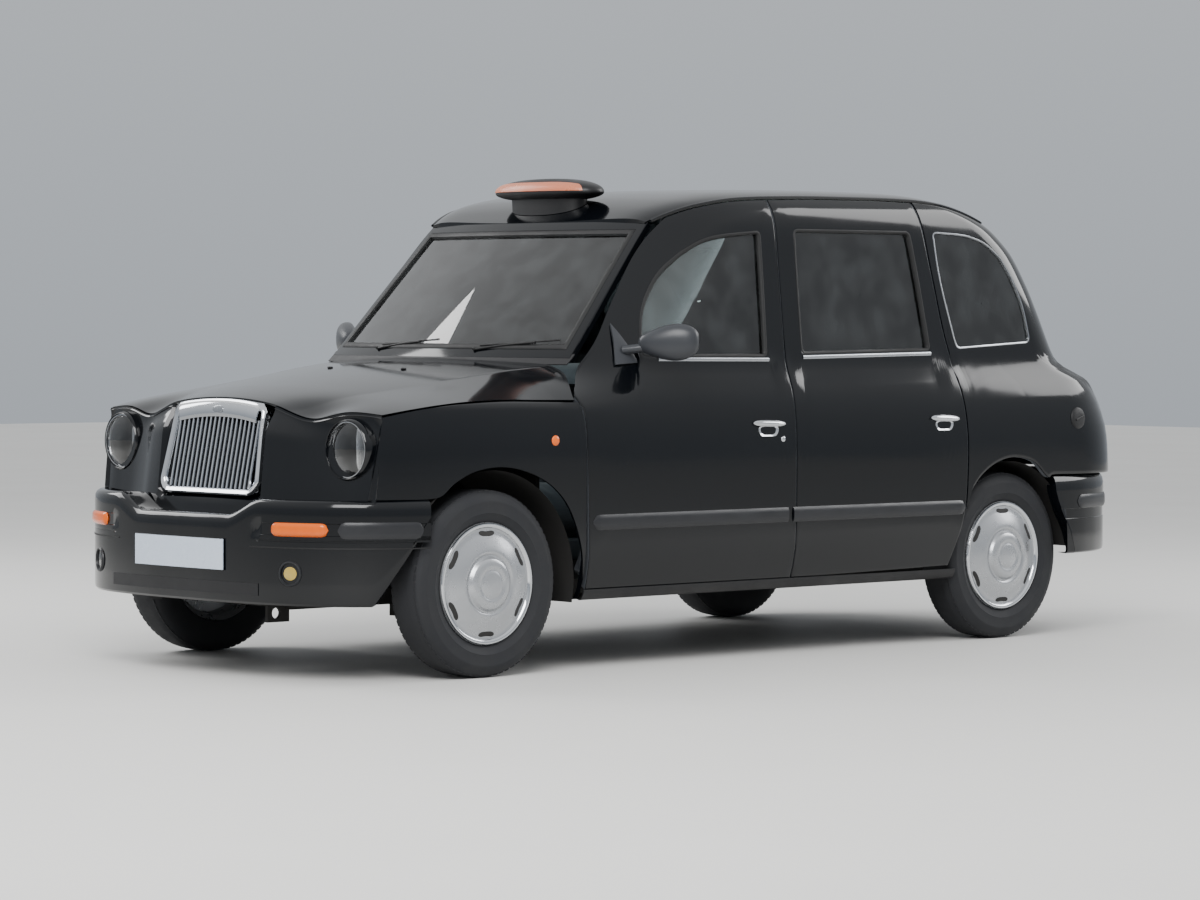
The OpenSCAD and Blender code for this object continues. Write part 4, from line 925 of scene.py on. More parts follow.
def make_grille():
    """Chrome grille: a rounded surround with an arched header, upright bars and a plain oval badge."""
    def outline(e, h):
        pts = [(226 + (60 + e) * math.cos(a), 716 + (60 + e) * math.sin(a))
               for a in np.radians(np.linspace(-90, 0, 12))]
        pts += [(286 + e - 24 * t, mix(716, 962, t)) for t in np.linspace(0.1, 1, 10)]
        top = [(u * (262 + e), 962 + h + 20 * (1 - u * u)) for u in np.linspace(1, 0, 12)]
        half = pts + top[1:]
        return half + [(-x, z) for x, z in half[::-1][1:]]

    def lean(x, y, z):
        return (x, -572 + y + 0.2 * (z - 800), z)
    out, inn = outline(2, 26), outline(-22, 2)
    rows = [[lean(x, y, z) for x, z in line] for line, y in
            ((inn, 16), (inn, -14), (outline(-18, 5), -19), (outline(-8, 18), -24), (outline(-2, 24), -21),
             (out, -14),
             (out, 22))]
    finish_piece(grid_piece(rows, wrap_cols=True), "grille_surround", "body", mats("chrome"), 40,
                 ("grille",))
    head = [[lean(u * (236 - 2 * j), -20 - 5 * math.sin(math.pi * j / 6), 978 - j * 9.5 + 20 * (1 - u * u))
             for u in np.linspace(-1, 1, 41)] for j in range(7)]
    finish_piece(shell(head, 5), "grille_header", "body", mats("chrome"), 40, ())
    bars = []
    for i in range(-9, 10):
        x = i * 25.6
        low = 664 + (0 if abs(x) < 190 else 26 * ((abs(x) - 190) / 50) ** 2)
        top = 926 + 14 * (1 - (x / 262) ** 2)
        shape = [(-4.6, 6), (-4.6, -8), (-3, -12.5), (0, -14), (3, -12.5), (4.6, -8), (4.6, 6)]
        bars.append(grid_piece([[lean(x + dx, dy, mix(low, top, t)) for dx, dy in shape]
                                for t in np.linspace(0, 1, 6)]))
    finish_piece(join(bars), "grille_bars", "body", mats("chrome"), 30, ())
    back = [[lean(x, 15, z) for x in np.linspace(-250, 250, 9)] for z in np.linspace(668, 950, 7)]
    finish_piece(grid_piece(back), "grille_radiator", "body", mats("plastic"), 30, ())
    badge = [lean(30 * math.cos(a), -25, 968 + 14 * math.sin(a))
             for a in np.linspace(0, 2 * math.pi, 40, endpoint=False)]
    finish_piece(prism(badge, (0, -4, 0), 1.4), "grille_badge", "body", mats("bright"), 40, ())


def bumper_line(path, n):
    """Points and outward directions along a bumper's plan, from one side right round to the other."""
    half = along(path, n, True)
    full = np.array([(-x, s) for x, s in half[::-1]][:-1] + [tuple(p) for p in half])
    d = np.gradient(full, axis=0)
    return full, d / np.linalg.norm(d, axis=1)[:, None]


def make_bumpers():
    path = [(0, -745), (200, -742), (400, -722), (540, -690), (650, -640), (742, -570), (804, -490),
            (844, -405),
            (866, -340), (879, -290)]
    pts, d = bumper_line(path, 80)

    def front(i, y, z):
        (x, s), (t0, t1) = pts[i], d[i]
        return (x - t1 * y, s + t0 * y, z)
    rows = []
    for k in range(21):
        row = []
        for i in range(len(pts)):
            a, s = abs(pts[i][0]), pts[i][1]
            top = 655 - 60 * (1 - smooth(250, 430, a))
            low = 276 if a < 800 else 276 + (s + 490) * 1.5
            groove = 3.2 * smooth(390, 470, a)
            shape = [(40, low + 4), (10, low), (2, low + 8), (0, low + 20)]
            shape += [(0, mix(low + 20, top - 150, t)) for t in (0.3, 0.6, 1)]
            shape += [(1.5 * (groove > 1), top - 149), (1.5 * (groove > 1), top - 144), (0, top - 143)]
            shape += [(0, top - 128), (groove, top - 126), (groove, top - 84), (0, top - 82), (0, top - 60),
                      (0, top - 34),
                      (2, top - 20), (8, top - 9), (18, top - 2), (30, top),
                      (60 + 58 * (1 - smooth(450, 600, a)), top - 4)]
            row.append(front(i, *shape[k]))
        rows.append(row)
    ends = [[[r[j], r[j]] for r in rows] for j in (0, -1)]
    for j, e in zip((0, -1), ends):
        for q, r in enumerate(rows):
            b = front(0 if j == 0 else len(pts) - 1, 60, r[j][2])
            e[q][1] = b
    finish_piece(join([grid_piece(rows)] + [grid_piece(e) for e in ends]), "front_bumper_skin", "body",
                 mats("paint"), 30,
                 ("front_bumper",))
    intake = [[front(i, -0.8, mix(308, 352, v)) for i in range(len(pts)) if abs(pts[i][0]) < 430]
              for v in np.linspace(0, 1, 5)]
    finish_piece(shell(intake, 2), "intake_mouth", "body", mats("plastic"), 30, ())

    def lozenge(name, line, a0, a1, z, h, out):
        picks = [i for i in range(len(pts)) if a0 <= pts[i][0] <= a1] if line is pts else line
        for side_, m in SIDES:
            rows_ = []
            for v in np.linspace(-1, 1, 11):
                row = []
                for c, i in enumerate(picks):
                    u = 2 * c / (len(picks) - 1) - 1
                    w = h * (1 - max(0.0, (abs(u) - 0.86) / 0.14) ** 2 * 0.9)
                    row.append(out(i, -5 * (1 - abs(v) ** 4) * (1 - abs(u) ** 16) + 0.6, z + v * w))
                rows_.append(row)
            finish_piece(shell(rows_, -3, m), f"{name}_{side_}", "body", mats("insert"), 40, ())
    lozenge("front_bumper_insert", pts, 716, 874, 548, 31, front)
    for name, m in SIDES:
        line = [p for p in along([(486, 0), (690, 0)], 41, True)]
        face = []
        for v in np.linspace(-1, 1, 15):
            row = []
            for q in line:
                i = int(np.argmin(np.abs(pts[:, 0] - q[0])))
                j = i + 1 if pts[i][0] <= q[0] else i - 1
                t = clamp((q[0] - pts[i][0]) / (pts[j][0] - pts[i][0]))
                u = (q[0] - 588) / 102
                e = max(0.0, (abs(u) - 0.78) / 0.22)
                h = 23 * math.sqrt(max(0.02, 1 - e * e))
                y = 3.4 - 11 * (1 - abs(v) ** 5) * (1 - e ** 3)
                a, b = front(i, y, 549 + v * h), front(j, y, 549 + v * h)
                row.append(mix(Vector(a), Vector(b), t))
            face.append(row)
        finish_piece(shell(face, 3, m), f"indicator_{name}", "body", mats("amber"), 40, ("signal_lamps",))
    split = [[front(i, y, 484 + z) for i in range(len(pts)) if abs(pts[i][0]) > 380] for y,
             z in ((-0.5, -2.4), (-0.8, 0), (-0.5, 2.4))]
    cutl = [r[:len(r) // 2] for r in split]
    cutr = [r[len(r) // 2:] for r in split]
    finish_piece(join([shell(cutl, 1), shell(cutr, 1)]), "front_bumper_split", "body", mats("rubber"), 30,
                 ())
    for name, m in SIDES:
        rim = lathe([(38, 20), (37.5, 2), (39, -4), (43, -4.6), (46, -1), (47, 8)], (565, -683, 392),
                    (-0.36, 0.933, 0), 48, m)
        finish_piece(rim, f"fog_surround_{name}", "body", mats("insert"), 40, ())
    back_path = [(0, 3830), (250, 3826), (450, 3800), (600, 3752), (710, 3680), (790, 3590), (846, 3480),
                 (877, 3375),
                 (889, 3285), (894, 3154)]
    bp, bd = bumper_line(back_path, 80)

    def back(i, y, z):
        (x, s), (t0, t1) = bp[i], bd[i]
        return (x + t1 * y, s - t0 * y, z)
    shape = [(52, 342), (10, 340), (2, 346), (0, 360), (0, 430), (0, 480), (0, 484), (2.6, 486), (2.6, 526),
             (0, 528),
             (0, 564), (0, 600), (0, 628), (4, 648), (12, 662), (24, 668), (50, 668)]
    rows = []
    for y, z in shape:
        row = []
        for i in range(len(bp)):
            cut = smooth(3240, 3154, bp[i][1]) if bp[i][1] < 3240 else 0
            p = back(i, y, z)
            row.append((p[0], p[1] + cut * 118 * (1 - smooth(340, 640, z)) * 1.1, p[2]))
        rows.append(row)
    closers = []
    for j in (0, -1):
        i = 0 if j == 0 else len(bp) - 1
        closers.append(grid_piece([[r[j], (r[j][0] * (1 - 50 / 894), r[j][1], r[j][2])] for r in rows]))
    finish_piece(join([grid_piece(rows)] + closers), "rear_bumper_skin", "body", mats("paint"), 30,
                 ("rear_bumper",))
    picks = [i for i in range(len(bp)) if 700 <= bp[i][0] and bp[i][1] > 3300]
    lozenge("rear_bumper_insert", picks, 0, 0, 556, 27, back)


def make_wheels():
    """Tyres, wheel discs and their vented covers, each built flat and turned to face its side."""
    for name, x0, s0 in WHEELS:
        m = 1 if x0 > 0 else -1
        axis = (m, 0, 0)
        body = f"wheel_{name}_body"
        c = (x0, s0, 343)
        tyre = [(221, -62), (226, -70), (250, -80), (282, -86), (304, -85), (320, -79), (330, -72),
                (337, -62), (341, -50),
                (342.6, -30), (343, 0), (342.6, 30), (341, 50), (337, 62), (330, 72), (320, 79), (304, 85),
                (299, 86.6),
                (296, 86), (282, 86.6), (262, 84), (258, 84.6), (254, 82), (236, 74), (226, 68), (221, 62)]
        carcass = lathe(tyre, c, axis, 120)
        count = 72
        lugs = []
        for i in range(count):
            a = 2 * math.pi * i / count
            for w0, w1, turn in ((-64, -36, 0.02), (-30, -4, -0.012), (4, 30, 0.012), (36, 64, -0.02)):
                line = []
                for w in (w0, w1):
                    for b in (-0.031, 0.031):
                        line.append((w, a + b + turn * (1 if w == w1 else -1)))
                r0, r1 = 334.5, 342.9 - 3.4 * (max(abs(w0), abs(w1)) > 60)
                pts = [[(c[0] + m * w, c[1] + r * math.cos(t), c[2] + r * math.sin(t)) for w, t in
                        (line[0], line[1], line[3], line[2])] for r in (r0, r1)]
                lugs.append((pts, ))
        verts, faces = [], []
        for (pts,) in lugs:
            k = len(verts)
            verts += pts[0] + pts[1]
            faces += [(k + 4, k + 5, k + 6, k + 7)] + [(k + i, k + (i + 1) % 4, k + 4 + (i + 1) % 4,
                                                        k + 4 + i) for i in range(4)]
        mesh = bpy.data.meshes.new("lugs")
        mesh.from_pydata([place(v, 1) for v in verts], [], faces)
        lug = bpy.data.objects.new("lugs", mesh)
        bpy.context.scene.collection.objects.link(lug)
        tidy_mesh(lug)
        finish_piece(join([carcass, lug]), f"tyre_{name}_tread", body, mats("tread"), 30, (f"tyre_{name}",))
        rim = lathe([(221, 62), (224, 70), (222, 74), (216, 73), (212, 60), (205, 20), (198, -10),
                     (205, -60), (222, -70),
                     (219, -60), (200, -52), (190, 0), (120, 12), (40, 12)], c, axis, 96)
        finish_piece(rim, f"rim_{name}", body, mats("silver"), 40, (f"wheel_{name}",))
        cover = [(212, 66), (208, 70), (202, 71), (196, 69), (188, 70), (176, 74), (160, 80), (142, 86),
                 (128, 90), (118, 92),
                 (112, 91), (106, 87), (101, 87), (97, 91), (94, 97), (90, 101), (80, 104), (66, 106),
                 (60, 105), (56, 103), (50, 103),
                 (46, 105), (38, 106.5), (0.2, 107)]
        finish_piece(lathe(cover, c, axis, 120), f"wheel_cover_{name}", body, mats("silver"), 30, ())
        ring = lathe([(222, 66), (223, 72), (219, 78.5), (212, 79.5), (206, 76.6), (203, 71), (206, 66)], c,
                     axis, 120)
        finish_piece(ring, f"cover_ring_{name}", body, mats("chrome"), 40, ())
        # Dark patches laid on the cover where the vent holes are: painted shade of the openings
        vents = []
        for i in range(6):
            a = math.radians(30 + 60 * i)
            mid = Vector((c[0] + m * 69.5, c[1] + 186 * math.cos(a), c[2] + 186 * math.sin(a)))
            along_, across = Vector((0, -math.sin(a), math.cos(a))), Vector((m * -0.32, math.cos(a),
                                                                             math.sin(a)))
            vents.append(prism([tuple(mid + along_ * 38 * math.copysign(abs(math.cos(t)) ** 0.7,
                                                                        math.cos(t))
                                      + across * (13 if math.sin(t) < 0 else 9) * math.sin(t))
                                      for t in np.linspace(0, 2 * math.pi, 20, endpoint=False)],
                               (m * 2.2, 0, 0), 1))
        finish_piece(join(vents), f"cover_vents_{name}", body, mats("vent"), 40, ())


def make_trims():
    """Strips, handles, seals and small fittings on the sides of the body."""
    for name, m in SIDES:
        for which, s0, s1, r0, r1 in (("front", 500, 1545, 1, 0), ("rear", 1574, 2590, 0, 1)):
            body = f"door_{which}_{name}_body"
            n = 60
            rows = []
            for v in np.linspace(-1, 1, 9):
                row = []
                for q in np.linspace(s0, s1, n):
                    e = max(r0 * max(0, 1 - (q - s0) / 30), r1 * max(0, 1 - (s1 - q) / 30))
                    w = 29 * math.sqrt(max(0.02, 1 - e * e))
                    row.append(skin(q, 551 + v * w, -7 * (1 - abs(v) ** 4) * (1 - e ** 4) - 0.5))
                rows.append(row)
            finish_piece(shell(rows, -4, m), f"rub_strip_{which}_{name}", body, mats("insert"), 40, ())
        sill = [[skin(s, z, d) for s in np.linspace(478, 2560, 60)] for z,
                d in ((262, 20), (266, 3), (272, -2), (292, -2), (301, 1))]
        finish_piece(shell(sill, 6, m), f"sill_moulding_{name}", "body", mats("plastic"), 40, ())
        post = [[skin(s, z, 9) for z in np.linspace(1110, 1680, 30)]
                for s in (1536, 1549, 1562, 1576, 1590)]
        finish_piece(shell(post, 3, m), f"centre_post_cover_{name}", "body", mats("rubber"), 40, ())
        for which, s0, z0, s1, z1 in (("front", 1346, 900, 1524, 895), ("rear", 2375, 908, 2546, 902)):
            body = f"door_{which}_{name}_body"
            cs, cz, L = (s0 + s1) / 2, (z0 + z1) / 2, (s1 - s0) / 2
            slope = (z1 - z0) / (s1 - s0)
            cup = [[skin(cs + L * 0.62 * u * math.sqrt(1 - 0.55 * v * v),
                         cz - 12 + 0.5 * L * -v * (v > 0) * 0.62 + 12 * -v * (v < 0),
                         -2.4 + 4.5 * (1 - u ** 4) * (1 - v ** 4)) for u in np.linspace(-1, 1, 25)]
                         for v in np.linspace(-1, 1, 15)]
            finish_piece(shell(cup, 2, m), f"handle_cup_{which}_{name}", body, mats("chrome"), 40, ())
            flap = []
            for v in np.linspace(-1, 1, 11):
                row = []
                for u in np.linspace(-1, 1, 33):
                    w = 15 * (1 - 0.35 * u * u) * math.sqrt(max(0.03, 1 - abs(u) ** 6))
                    row.append(skin(cs + L * u, cz + slope * L * u + 9 + w * v * 0.85,
                                    -9 - 9 * (1 - v * v) * (1 - u ** 4)))
                flap.append(row)
            finish_piece(shell(flap, 4, m), f"handle_flap_{which}_{name}", body, mats("chrome"), 50, ())
            if which == "front":
                p = skin(cs + L - 8, cz - 52, 0)
                lock = lathe([(0.2, 5), (4, 5.4), (9, 4.4), (11, 2), (11.5, -1)], tuple(p), (1, 0, 0), 32,
                             m)
                finish_piece(lock, f"door_lock_{name}", body, mats("chrome"), 40, ())
        for which, q0, q1, z0, z1 in (("front", 900, 1494, 1157, 1154), ("rear", 1688, 2440, 1163, 1176)):
            rows = [[skin(q, mix(z0, z1, (q - q0) / (q1 - q0)) + z, d) for q in np.linspace(q0, q1, 60)]
                    for z, d in ((-8, -0.6), (-5, -3.4), (0, -4.2), (5, -3), (8, 0.5))]
            finish_piece(shell(rows, 2, m), f"waist_trim_{which}_{name}", f"door_{which}_{name}_body",
                         mats("bright"), 40, ())
    cap = lathe([(0.2, 9), (20, 8.6), (36, 7), (42, 4.4), (45, 0.5), (46, -3)], tuple(skin(3306, 905, 0)),
                (1, 0.05, 0.06), 56)
    grip = tube([tuple(skin(3306, 905, -9) + Vector((0, dy, dz))) for dy,
                 dz in ((-24, -8), (-8, -3), (8, 3), (24, 8))], 5, 12)
    finish_piece(join([cap, grip]), "filler_cap", "body", mats("plastic"), 40, ())


def make_mirrors():
    for name, m in SIDES:
        body = f"door_front_{name}_body"
        sail = [[skin(mix(700, 792, u) + 40 * v * (1 - u), mix(mix(1130, 1140, u), mix(1286, 1150, u), v),
                      -12 - 10 * math.sin(math.pi * v) * (1 - u))
                 for u in np.linspace(0, 1, 14)] for v in np.linspace(0, 1, 14)]
        arm = tube([tuple(skin(748, 1186, -12)), (858, 786, 1200), (876, 806, 1208), (900, 826, 1214)], 22,
                   24, flat=0.8)
        along_, back, mid = Vector((0.83, 0.555, 0.04)), Vector((-0.555, 0.83, 0)), Vector((932, 846, 1220))
        rows = []
        for a in np.radians(np.linspace(-89, 89, 31)):
            q, c = math.sin(a), math.cos(a) ** 0.62
            tall = mix(50, 73, smooth(-1, 0.5, q)) * c
            deep = 50 * c
            rows.append([mid + along_ * (116 * q) + back * (deep * math.copysign(abs(math.cos(k)) ** 0.8,
                                                                                 math.cos(k))
                                                            * (0.62 if math.cos(k) > 0 else 1))
                         + Vector((0, 0, tall * math.copysign(abs(math.sin(k)) ** 0.85, math.sin(k))))
                         for k in np.linspace(0, 2 * math.pi, 48, endpoint=False)])
        ends = [[[mix(p, sum(r, Vector()) / len(r), t) for p in r] for t in (0, 0.5, 0.98)]
                for r in (rows[0], rows[-1])]
        head = grid_piece(rows, wrap_cols=True)
        front_, tail_ = [grid_piece(e, wrap_cols=True) for e in ends]
        parts = [shell(sail, 9), arm, head, front_, tail_]
        obj = join(parts)
        if m < 0:
            obj.data.transform(Matrix.Scale(-1, 4, (1, 0, 0)))
            tidy_mesh(obj)
        finish_piece(obj, f"mirror_shell_{name}", body, mats("mirror_plastic"), 50, (f"mirror_{name}",))
        glass = [tuple(mid + along_ * (8 + 92 * math.copysign(abs(math.cos(a)) ** 0.7,
                                                              math.cos(a))) + back * 31.5
                       + Vector((0, 0, 52 * math.copysign(abs(math.sin(a)) ** 0.8, math.sin(a)))))
                 for a in np.linspace(0, 2 * math.pi, 40, endpoint=False)]
        finish_piece(prism(glass, tuple(back * 2), 0.6, m), f"mirror_glass_{name}", body, mats("chrome"),
                     40, ())


def make_sign():
    rows = []
    for j in range(1, 21):
        b = math.radians(mix(-58, 89, j / 20))
        rows.append([(282 * abs(math.cos(b)) ** 0.8 * math.copysign(abs(math.cos(a)) ** 0.9, math.cos(a)),
                      1097 + 118 * math.cos(b) ** 0.8 * math.copysign(abs(math.sin(a)) ** 0.9, math.sin(a)),
                      1806 + (56 * math.sin(b) ** 0.9 if b > 0 else 34 * math.sin(b)))
                      for a in np.linspace(0, 2 * math.pi, 88, endpoint=False)])
    foot = [[(p[0] * 0.985, 1097 + (p[1] - 1097) * 0.97,
              roof_z(1097 + (p[1] - 1097) * 0.97, p[0] * 0.985) + 2) for p in rows[0]]]
    finish_piece(grid_piece(foot + rows, wrap_cols=True), "roof_sign_cover", "body", mats("plastic"), 40,
                 ("roof_sign",))
    win = []
    for v in np.linspace(0, 1, 9):
        row = []
        for u in np.linspace(-1, 1, 41):
            b = math.radians(mix(2, 40 * (1 - 0.3 * u ** 4), v))
            a = math.radians(-90 + 62 * u)
            row.append((285 * math.cos(b) ** 0.8 * math.copysign(abs(math.cos(a)) ** 0.9, math.cos(a)),
                        1097 + 121 * math.cos(b) ** 0.8 * math.copysign(abs(math.sin(a)) ** 0.9,
                                math.sin(a)), 1807 + 57 * math.sin(b) ** 0.9))
        win.append(row)
    finish_piece(shell(win, 3), "roof_sign_window", "body", mats("sign_window"), 40, ())


def make_screen():
    """Windscreen with its black edge, rubber and small blank papers, and the two wipers."""
    def row(z, k, d, n=61):
        h = screen_half(z) - 31
        return [tuple(screen(u * h * k, z, d)) for u in np.linspace(-1, 1, n)]
    zs = np.linspace(1203, 1640, 44)
    pane = [row(z, 1, 8) for z in zs]
    finish_piece(shell(pane, 4), "windscreen", "body", mats("screen"), 30, ("fixed_windows",))
    ring = [(u, 1203) for u in np.linspace(-1, 1, 60, endpoint=False)] + [(1.0, z)
            for z in np.linspace(1203, 1640, 30, endpoint=False)]
    ring += [(u, 1640) for u in np.linspace(1, -1, 60, endpoint=False)] + [(-1.0, z)
            for z in np.linspace(1640, 1203, 30, endpoint=False)]

    def around(grow, d):
        out = []
        for u, z in ring:
            zz = z + (grow if z >= 1639 else -grow if z <= 1204 else mix(-grow, grow, (z - 1203) / 437))
            out.append(tuple(screen(u * (screen_half(zz) - 31 + grow), zz, d)))
        return out
    seal = [around(g, d) for g, d in ((12, 0), (9, -4), (2, -5), (-6, -2.5), (-7, 7.5), (3, 7.5))]
    finish_piece(grid_piece(seal, wrap_cols=True, wrap_rows=True), "windscreen_rubber", "body",
                 mats("rubber"), 50, ())
    band = [around(g, 12.6) for g in (-1, -10, -22, -30)]
    finish_piece(shell([r + [r[0]] for r in band], 1), "windscreen_dark_edge", "body", mats("shade_band"),
                 40, ())
    frame_ = [around(g, d) for g, d in ((44, 6), (43, 0), (30, -0.5), (13, 0), (12, 5), (13, 27), (42, 28))]
    finish_piece(grid_piece(frame_, wrap_cols=True, wrap_rows=True), "windscreen_frame", "body",
                 mats("paint"), 35, ("body_frame",))
    for i, (x, z, w, h) in enumerate(((-470, 1260, 44, 58), (-400, 1256, 38, 40), (452, 1262, 46, 60))):
        sheet = [[tuple(screen(x + u * w, z + v * h, 13.5)) for u in np.linspace(-1, 1, 7)]
                 for v in np.linspace(-1, 1, 7)]
        finish_piece(shell(sheet, 0.6), f"blank_paper_{i}", "body", mats("paper"), 30, ())
    for i, x in enumerate((-330, 250)):
        foot = (x, screen_s(x, 1178) + 4, 1188)
        tip = tuple(screen(x + 262, 1212, -8))
        arm = [mix(Vector(foot), Vector(tip), t) + Vector((0, 0, 3 * math.sin(math.pi * t)))
               for t in np.linspace(0, 1, 14)]
        spine = tube([tuple(p) for p in arm], 5, 10)
        pivot = lathe([(0.2, 9), (4.5, 8), (6, 5), (6, 1)], foot, (0, -0.35, 0.94), 28)
        blade = tube([tuple(screen(x + 20 + 340 * t, mix(1200, 1222, t), -6))
                      for t in np.linspace(0, 1, 30)], 3.4, 8)
        finish_piece(join([spine, pivot, blade]), f"wiper_{'right' if i == 0 else 'left'}", "body",
                     mats("rubber"), 50, ("wipers",))
    ledge = [[(u * (screen_half(1150) + 20), screen_s(u * 700, 1150 + z) + 2 - d, 1150 + z)
              for u in np.linspace(-1, 1, 61)]
             for z, d in ((-14, 6), (6, 2), (24, 1))]
    finish_piece(shell(ledge, 4), "scuttle_cover", "body", mats("plastic"), 40, ())
    for nm, s, z0, z1, out in (("front", -744, 394, 505, -1), ("rear", 3831, 500, 611, 1)):
        rows = [[(x, s + out * 4 * (1 - (x / 262) ** 2) * 1.2, z) for x in np.linspace(-260, 260, 31)]
                for z in np.linspace(z0, z1, 7)]
        finish_piece(shell(rows, 3), f"blank_plate_{nm}", "body", mats("plate"), 30, ("number_plates",))
        edge = [(x, s + out * 7.5, z) for x, z in ((-260, z0), (260, z0), (260, z1), (-260, z1),
                                                   (-260, z0))]
        fine = [tuple(mix(Vector(a), Vector(b), t)) for a,
                b in zip(edge, edge[1:]) for t in np.linspace(0, 1, 14)]
        fine = [(x, s + out * (4 * (1 - (x / 262) ** 2) * 1.2 + 1), z) for x, _, z in fine]
        finish_piece(tube(fine, 2, 8), f"plate_edge_{nm}", "body", mats("plastic"), 50, ())


# ---- inside the cab ----
def make_cushion(name, x0, x1, s0, s1, z0, z1, tilt=0.0, material="cloth"):
    """One cushion: a bevelled box, swelled as cloth so that its cover pulls round over the padding."""
    deselect()
    bpy.ops.mesh.primitive_cube_add(size=1)
    obj = bpy.context.object
    bpy.ops.object.mode_set(mode="EDIT")
    bpy.ops.mesh.select_all(action="SELECT")
    bpy.ops.transform.resize(value=((x1 - x0) / 1000, (s1 - s0) / 1000, (z1 - z0) / 1000),
                             center_override=(0, 0, 0))
    bpy.ops.mesh.bevel(offset=0.028, segments=4, affect="EDGES")
    bpy.ops.mesh.select_all(action="SELECT")
    bpy.ops.transform.rotate(value=tilt, orient_axis="X", center_override=(0, 0, 0))
    bpy.ops.transform.translate(value=((x0 + x1) / 2000, ((s0 + s1) / 2 - MID_Y) / 1000, (z0 + z1) / 2000))
    bpy.ops.object.mode_set(mode="OBJECT")
    swell(obj)
    tidy_mesh(obj, 0.00001)
    finish_piece(obj, name, "body", mats(material), 60, ("seats",) if name == "seat_driver_base" else ())
    return obj


def swell(obj):
    """Cloth simulation under light pressure, its movement capped, then smoothed."""
    deselect()
    obj.select_set(True)
    bpy.context.view_layer.objects.active = obj
    mod = obj.modifiers.new("even", "REMESH")
    mod.mode = "VOXEL"
    mod.voxel_size = 0.026
    bpy.ops.object.modifier_apply(modifier="even")
    count = len(obj.data.vertices)
    before = np.empty(count * 3, np.float32)
    obj.data.vertices.foreach_get("co", before)
    cloth = obj.modifiers.new("cover", "CLOTH")
    cloth.settings.effector_weights.gravity = 0
    cloth.settings.use_pressure = True
    cloth.settings.uniform_pressure_force = 4
    cloth.settings.mass = 0.4
    cloth.settings.quality = 4
    scene = bpy.context.scene
    cloth.point_cache.frame_start = 1
    cloth.point_cache.frame_end = 20
    for f in range(1, 21):
        scene.frame_set(f)
    bpy.ops.object.modifier_apply(modifier="cover")
    scene.frame_set(1)
    after = np.empty(count * 3, np.float32)
    obj.data.vertices.foreach_get("co", after)
    move = (after - before).reshape(-1, 3)
    size = np.linalg.norm(move, axis=1)[:, None]
    move *= np.minimum(1, 0.024 / np.maximum(size, 1e-9))
    obj.data.vertices.foreach_set("co", (before.reshape(-1, 3) + move).astype(np.float32).ravel())
    sub = obj.modifiers.new("fine", "SUBSURF")
    sub.levels = 1
    bpy.ops.object.modifier_apply(modifier="fine")


def make_seats():
    make_cushion("seat_driver_base", -560, -80, 1050, 1440, 430, 620)
    make_cushion("seat_driver_back", -556, -84, 1455, 1600, 640, 1140, math.radians(-5))
    make_cushion("seat_rear_base_left", 8, 592, 2548, 2930, 500, 630)
    make_cushion("seat_rear_base_right", -592, -8, 2548, 2930, 500, 630)
    make_cushion("seat_rear_back_left", 8, 592, 2955, 3085, 650, 1140, math.radians(-3))
    make_cushion("seat_rear_back_right", -592, -8, 2955, 3085, 650, 1140, math.radians(-3))
    finish_piece(block(-540, -100, 1080, 1440, 335, 425, 14), "seat_driver_box", "body", mats("cabin"), 40,
                 ())


def make_dashboard():
    prof = [(470, 1035), (500, 1058), (560, 1064), (630, 1060), (672, 1048), (694, 1020), (700, 980),
            (690, 900), (664, 850),
            (640, 828), (600, 822), (470, 822)]
    p = [tuple(q) for q in along(prof, 48, True)]
    rows = [[(x, s + 26 * (abs(x) / 640) ** 6 * (s > 620), z) for s, z in p]
            for x in np.linspace(-638, 638, 41)]
    hood = [[(-330 + 190 * u, 600 + 104 * v, 1062 + 34 * math.sqrt(max(0, 1 - u * u)) * (0.5 + 0.5 * v))
             for u in np.linspace(-1, 1, 25)]
            for v in np.linspace(0, 1, 9)]
    finish_piece(join([grid_piece(rows, wrap_cols=True), shell(hood, 6)]), "dashboard_top", "body",
                 mats("cabin"), 40,
                 ("dashboard",))
    c, a = Vector((-330, 850, 960)), Vector((0, math.sin(math.radians(62)), math.cos(math.radians(62))))
    rim = [(185 + 15 * math.cos(k), 12.5 * math.sin(k))
           for k in np.linspace(0, 2 * math.pi, 20, endpoint=False)]
    parts = [lathe(rim, tuple(c), tuple(a), 96)]
    parts.append(lathe([(0.2, 10), (30, 10), (52, 4), (60, -10), (56, -30), (30, -44), (0.2, -44)],
                       tuple(c), tuple(a), 48))
    x, y = Vector((1, 0, 0)), Vector((0, math.cos(math.radians(62)), -math.sin(math.radians(62))))
    for k in (0, 180, 270):
        d = x * math.cos(math.radians(k)) + y * math.sin(math.radians(k))
        parts.append(tube([tuple(c - a * 16 + d * 40), tuple(c - a * 12 + d * 100),
                           tuple(c - a * 4 + d * 178)], 15, 16, flat=0.45,
                          up=tuple(a)))
    finish_piece(join(parts), "steering_wheel_rim", "steering_wheel_body", mats("plastic"), 40,
                 ("steering_wheel",))


